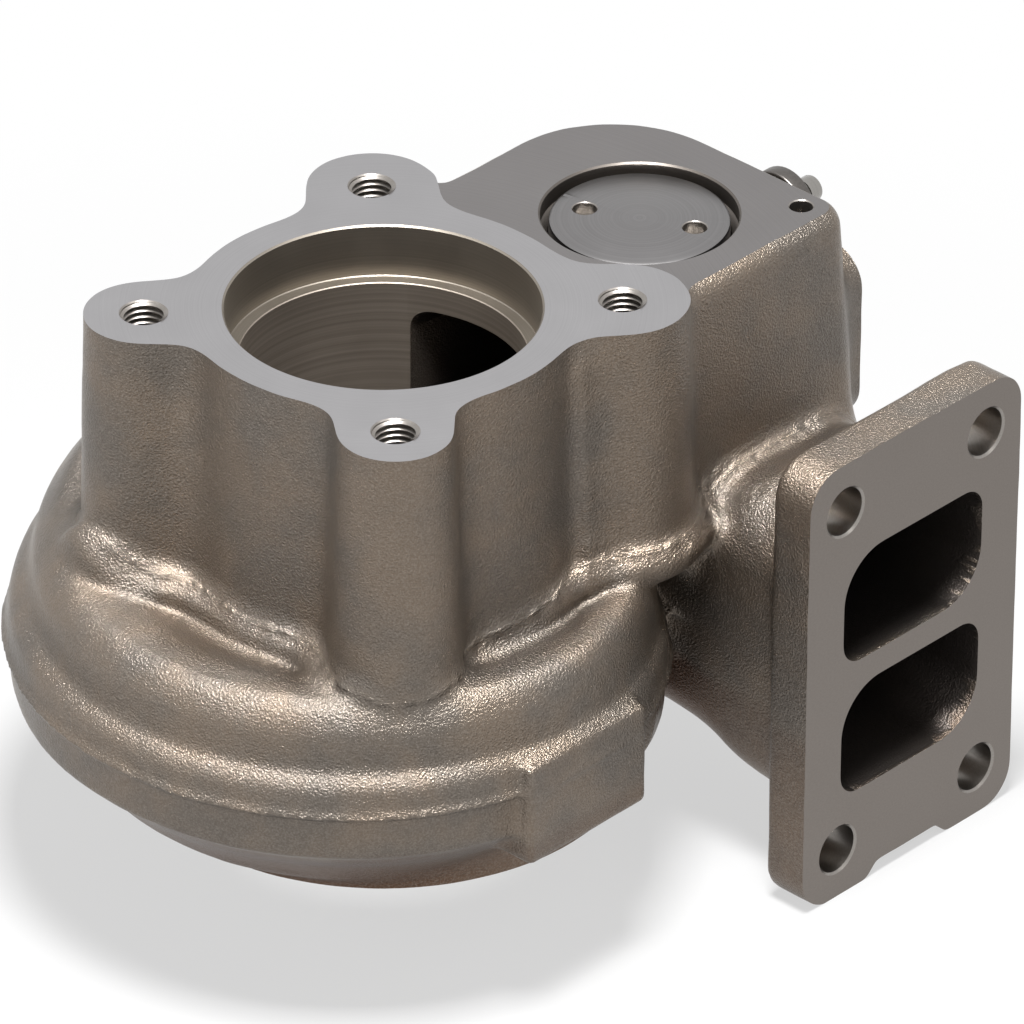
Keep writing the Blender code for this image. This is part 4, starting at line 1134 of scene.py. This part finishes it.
def noise(vector, scale, detail=2.0, roughness=0.5):
    node = Field.tree.nodes.new("ShaderNodeTexNoise")
    node.inputs["Detail"].default_value = detail
    node.inputs["Roughness"].default_value = roughness
    Field.tree.links.new(vector, node.inputs["Vector"])
    plug_in(Field.tree, node.inputs["Scale"], scale)
    return Field(node.outputs[0])


def sand_grain():
    tree, given, out = start_group("sand_grain", ["Grain"], ["Height", "Fleck", "Tone", "Lump"])
    grain = Field(given["Grain"])
    vector = given["Vector"]
    fine = noise(vector, grain, 3.0, 0.65)
    cells = tree.nodes.new("ShaderNodeTexVoronoi")
    tree.links.new(vector, cells.inputs["Vector"])
    plug_in(tree, cells.inputs["Scale"], grain * 0.8)
    pits = Field(cells.outputs["Distance"])
    plug_in(tree, out["Height"], fine * 0.7 + pits * 0.45)
    plug_in(tree, out["Fleck"], eased(fine, 0.38, 0.70))
    plug_in(tree, out["Tone"], noise(vector, 38.0, 3.0, 0.6))
    plug_in(tree, out["Lump"], noise(vector, 260.0, 1.0, 0.5))
    return tree


def tool_marks():
    """Fine rings round the Z axis of the given vector, as a turning tool leaves them."""
    tree, given, out = start_group("tool_marks", ["Spacing"], ["Height", "Tone"])
    x, y, z = split_up(given["Vector"])
    ring = away_from(x, y) / Field(given["Spacing"])
    pair = tree.nodes.new("ShaderNodeCombineXYZ")
    plug_in(tree, pair.inputs[0], ring)
    plug_in(tree, pair.inputs[2], z / Field(given["Spacing"]))
    plug_in(tree, out["Height"], noise(pair.outputs[0], 1.0, 2.0, 0.6))
    plug_in(tree, out["Tone"], noise(given["Vector"], 60.0, 3.0, 0.6))
    return tree


SAND_GRAIN = sand_grain()
TOOL_MARKS = tool_marks()
print("shader groups:", SAND_GRAIN.name, TOOL_MARKS.name)

# %% How a material is put together
def principled(material):
    return material.node_tree.nodes["Principled BSDF"]


def add_group(material, group, centre=(0, 0, 0), turn=(0, 0, 0), **values):
    """Places a group on Object coordinates, centred and turned on a piece."""
    tree = material.node_tree
    Field.tree = tree
    where = tree.nodes.new("ShaderNodeTexCoord")
    mapping = tree.nodes.new("ShaderNodeMapping")
    mapping.vector_type = "TEXTURE"
    mapping.inputs["Location"].default_value = TO_FRAME @ Vector(centre) if any(centre) else centre
    mapping.inputs["Rotation"].default_value = turn
    tree.links.new(where.outputs["Object"], mapping.inputs["Vector"])
    node = tree.nodes.new("ShaderNodeGroup")
    node.node_tree = group
    tree.links.new(mapping.outputs[0], node.inputs["Vector"])
    for title, value in values.items():
        node.inputs[title].default_value = value
    return {socket.name: Field(socket) for socket in node.outputs}


def blend_colours(tree, dark, light, share):
    node = tree.nodes.new("ShaderNodeMix")
    node.data_type = "RGBA"
    for title, colour in (("A", dark), ("B", light)):
        if isinstance(colour, tuple):
            node.inputs[title].default_value = (*colour, 1)
        else:
            tree.links.new(colour, node.inputs[title])
    plug_in(tree, node.inputs["Factor"], share)
    return node.outputs["Result"]


def bump(material, height, depth, strength):
    tree = material.node_tree
    node = tree.nodes.new("ShaderNodeBump")
    node.inputs["Strength"].default_value = strength
    node.inputs["Distance"].default_value = depth
    plug_in(tree, node.inputs["Height"], height)
    tree.links.new(node.outputs[0], principled(material).inputs["Normal"])


# %% [markdown]
# The cast skin is dark iron with a warm tone that comes and goes, brown rust low down, painted
# darker as painted shade under the part, and bright flecks on single grains. Lumps show only
# along the seams, and the walls that a sand core shaped are painted darker and duller, as painted
# shade in the hollows. Both are read from the notes that the casting's tree left on its points.

# %% Cast skin
# Heights in the frame where the brown rust, painted darker as painted shade under the part, begins
# and is full.
RUST_AND_SHADE_START = -0.009
RUST_AND_SHADE_FULL = -0.014


def finish_cast(material):
    tree = material.node_tree
    grain = add_group(material, SAND_GRAIN, Grain=2300.0)
    tone = eased(grain["Tone"], 0.35, 0.65)
    notes = {}
    for name in ("seam", "cored"):
        note = tree.nodes.new("ShaderNodeAttribute")
        note.attribute_name = name
        notes[name] = Field(note.outputs["Fac"])
    seam, cored = notes["seam"] * notes["seam"], notes["cored"]
    x, _, z = split_up(tree.nodes.new("ShaderNodeTexCoord").outputs["Object"])
    # Brown rust low down, also painted dark as painted shade on the underside.
    rust_and_underside_shade = eased(z + (grain["Tone"] - 0.5) * 0.012, RUST_AND_SHADE_START, RUST_AND_SHADE_FULL)
    ground = blend_colours(tree, (0.125, 0.108, 0.092), (0.172, 0.135, 0.103), tone)
    rust_and_underside_shade = rust_and_underside_shade * (1.0 - eased(x, -0.045, -0.02) * 0.7)
    ground = blend_colours(tree, ground, (0.085, 0.036, 0.014), rust_and_underside_shade * 0.85)
    # Painted shade: the walls that a sand core shaped are painted darker, with fewer flecks, for
    # the dark hollows.
    ground = blend_colours(tree, ground, (0.085, 0.074, 0.068), cored * 0.9)
    fleck = blend_colours(tree, ground, (0.40, 0.36, 0.32), grain["Fleck"] * (0.25 - cored * 0.22))
    shader = principled(material)
    tree.links.new(fleck, shader.inputs["Base Color"])
    plug_in(tree, shader.inputs["Roughness"], 0.31 - seam * 0.05)
    shader.inputs["Metallic"].default_value = 0.9
    relief = grain["Height"] * (1.0 - cored * 0.7) + grain["Lump"] * seam * 4.0
    bump(material, relief, 0.00035, 1.0)


finish_cast(cast_iron)

# %% [markdown]
# Cut metal is brighter and smoother than the skin, and it carries the rings that the tool
# left. One recipe serves all of it: each finish has its own two tones, roughness, spacing and
# depth of the rings, and the point that they run round.

# %% Cut metal
def finish_cut(material, dark, light, roughness, spacing, depth, centre, turn=(0, 0, 0)):
    tree = material.node_tree
    marks = add_group(material, TOOL_MARKS, centre, turn, Spacing=spacing)
    shader = principled(material)
    tree.links.new(blend_colours(tree, dark, light, marks["Height"]), shader.inputs["Base Color"])
    plug_in(tree, shader.inputs["Roughness"], roughness + marks["Tone"] * 0.12)
    shader.inputs["Metallic"].default_value = 1.0
    bump(material, marks["Height"], depth, 0.5)


TURBINE = (0.001, 0, 0)    # a hair off the origin, which add_group takes for no centre
PLUG_CENTRE = (CHAMBER_X, CHAMBER_Y, 0)
LYING = (pi / 2, 0, 0)
for metal, dark, light, *rest in (
        (milled, (0.30, 0.294, 0.30), (0.38, 0.373, 0.38), 0.28, 0.0004, 0.00001, TURBINE),
        (rough_milled, (0.165, 0.157, 0.155), (0.24, 0.228, 0.225), 0.30, 0.0004, 0.00002, TURBINE),
        (flange_milled, (0.165, 0.145, 0.13), (0.22, 0.197, 0.178), 0.32, 0.0004, 0.00002, TURBINE),
        (throat_wall, (0.20, 0.17, 0.14), (0.42, 0.37, 0.32), 0.45, 0.0007, 0.00006, TURBINE),
        (seat_wall, (0.10, 0.09, 0.08), (0.18, 0.16, 0.145), 0.34, 0.0005, 0.00002, PLUG_CENTRE),
        (bored, (0.19, 0.17, 0.145), (0.34, 0.305, 0.26), 0.36, 0.0005, 0.00003, TURBINE),
        (drilled_wall, (0.22, 0.20, 0.18), (0.34, 0.32, 0.30), 0.26, 0.0004, 0.00001, TURBINE),
        (turned_steel, (0.16, 0.155, 0.155), (0.25, 0.243, 0.243), 0.24, 0.0004, 0.00004,
         PLUG_CENTRE),
        (gate_steel, (0.09, 0.083, 0.078), (0.16, 0.148, 0.138), 0.30, 0.0005, 0.00003,
         (SHAFT_X, 0, SHAFT_Z), LYING),
        (pin_steel, (0.26, 0.25, 0.235), (0.36, 0.345, 0.325), 0.14, 0.0005, 0.00002,
         (PIN_X, 0, PIN_Z), LYING)):
    finish_cut(metal, dark, light, *rest)
print("finishes:", len(bpy.data.materials), "materials")
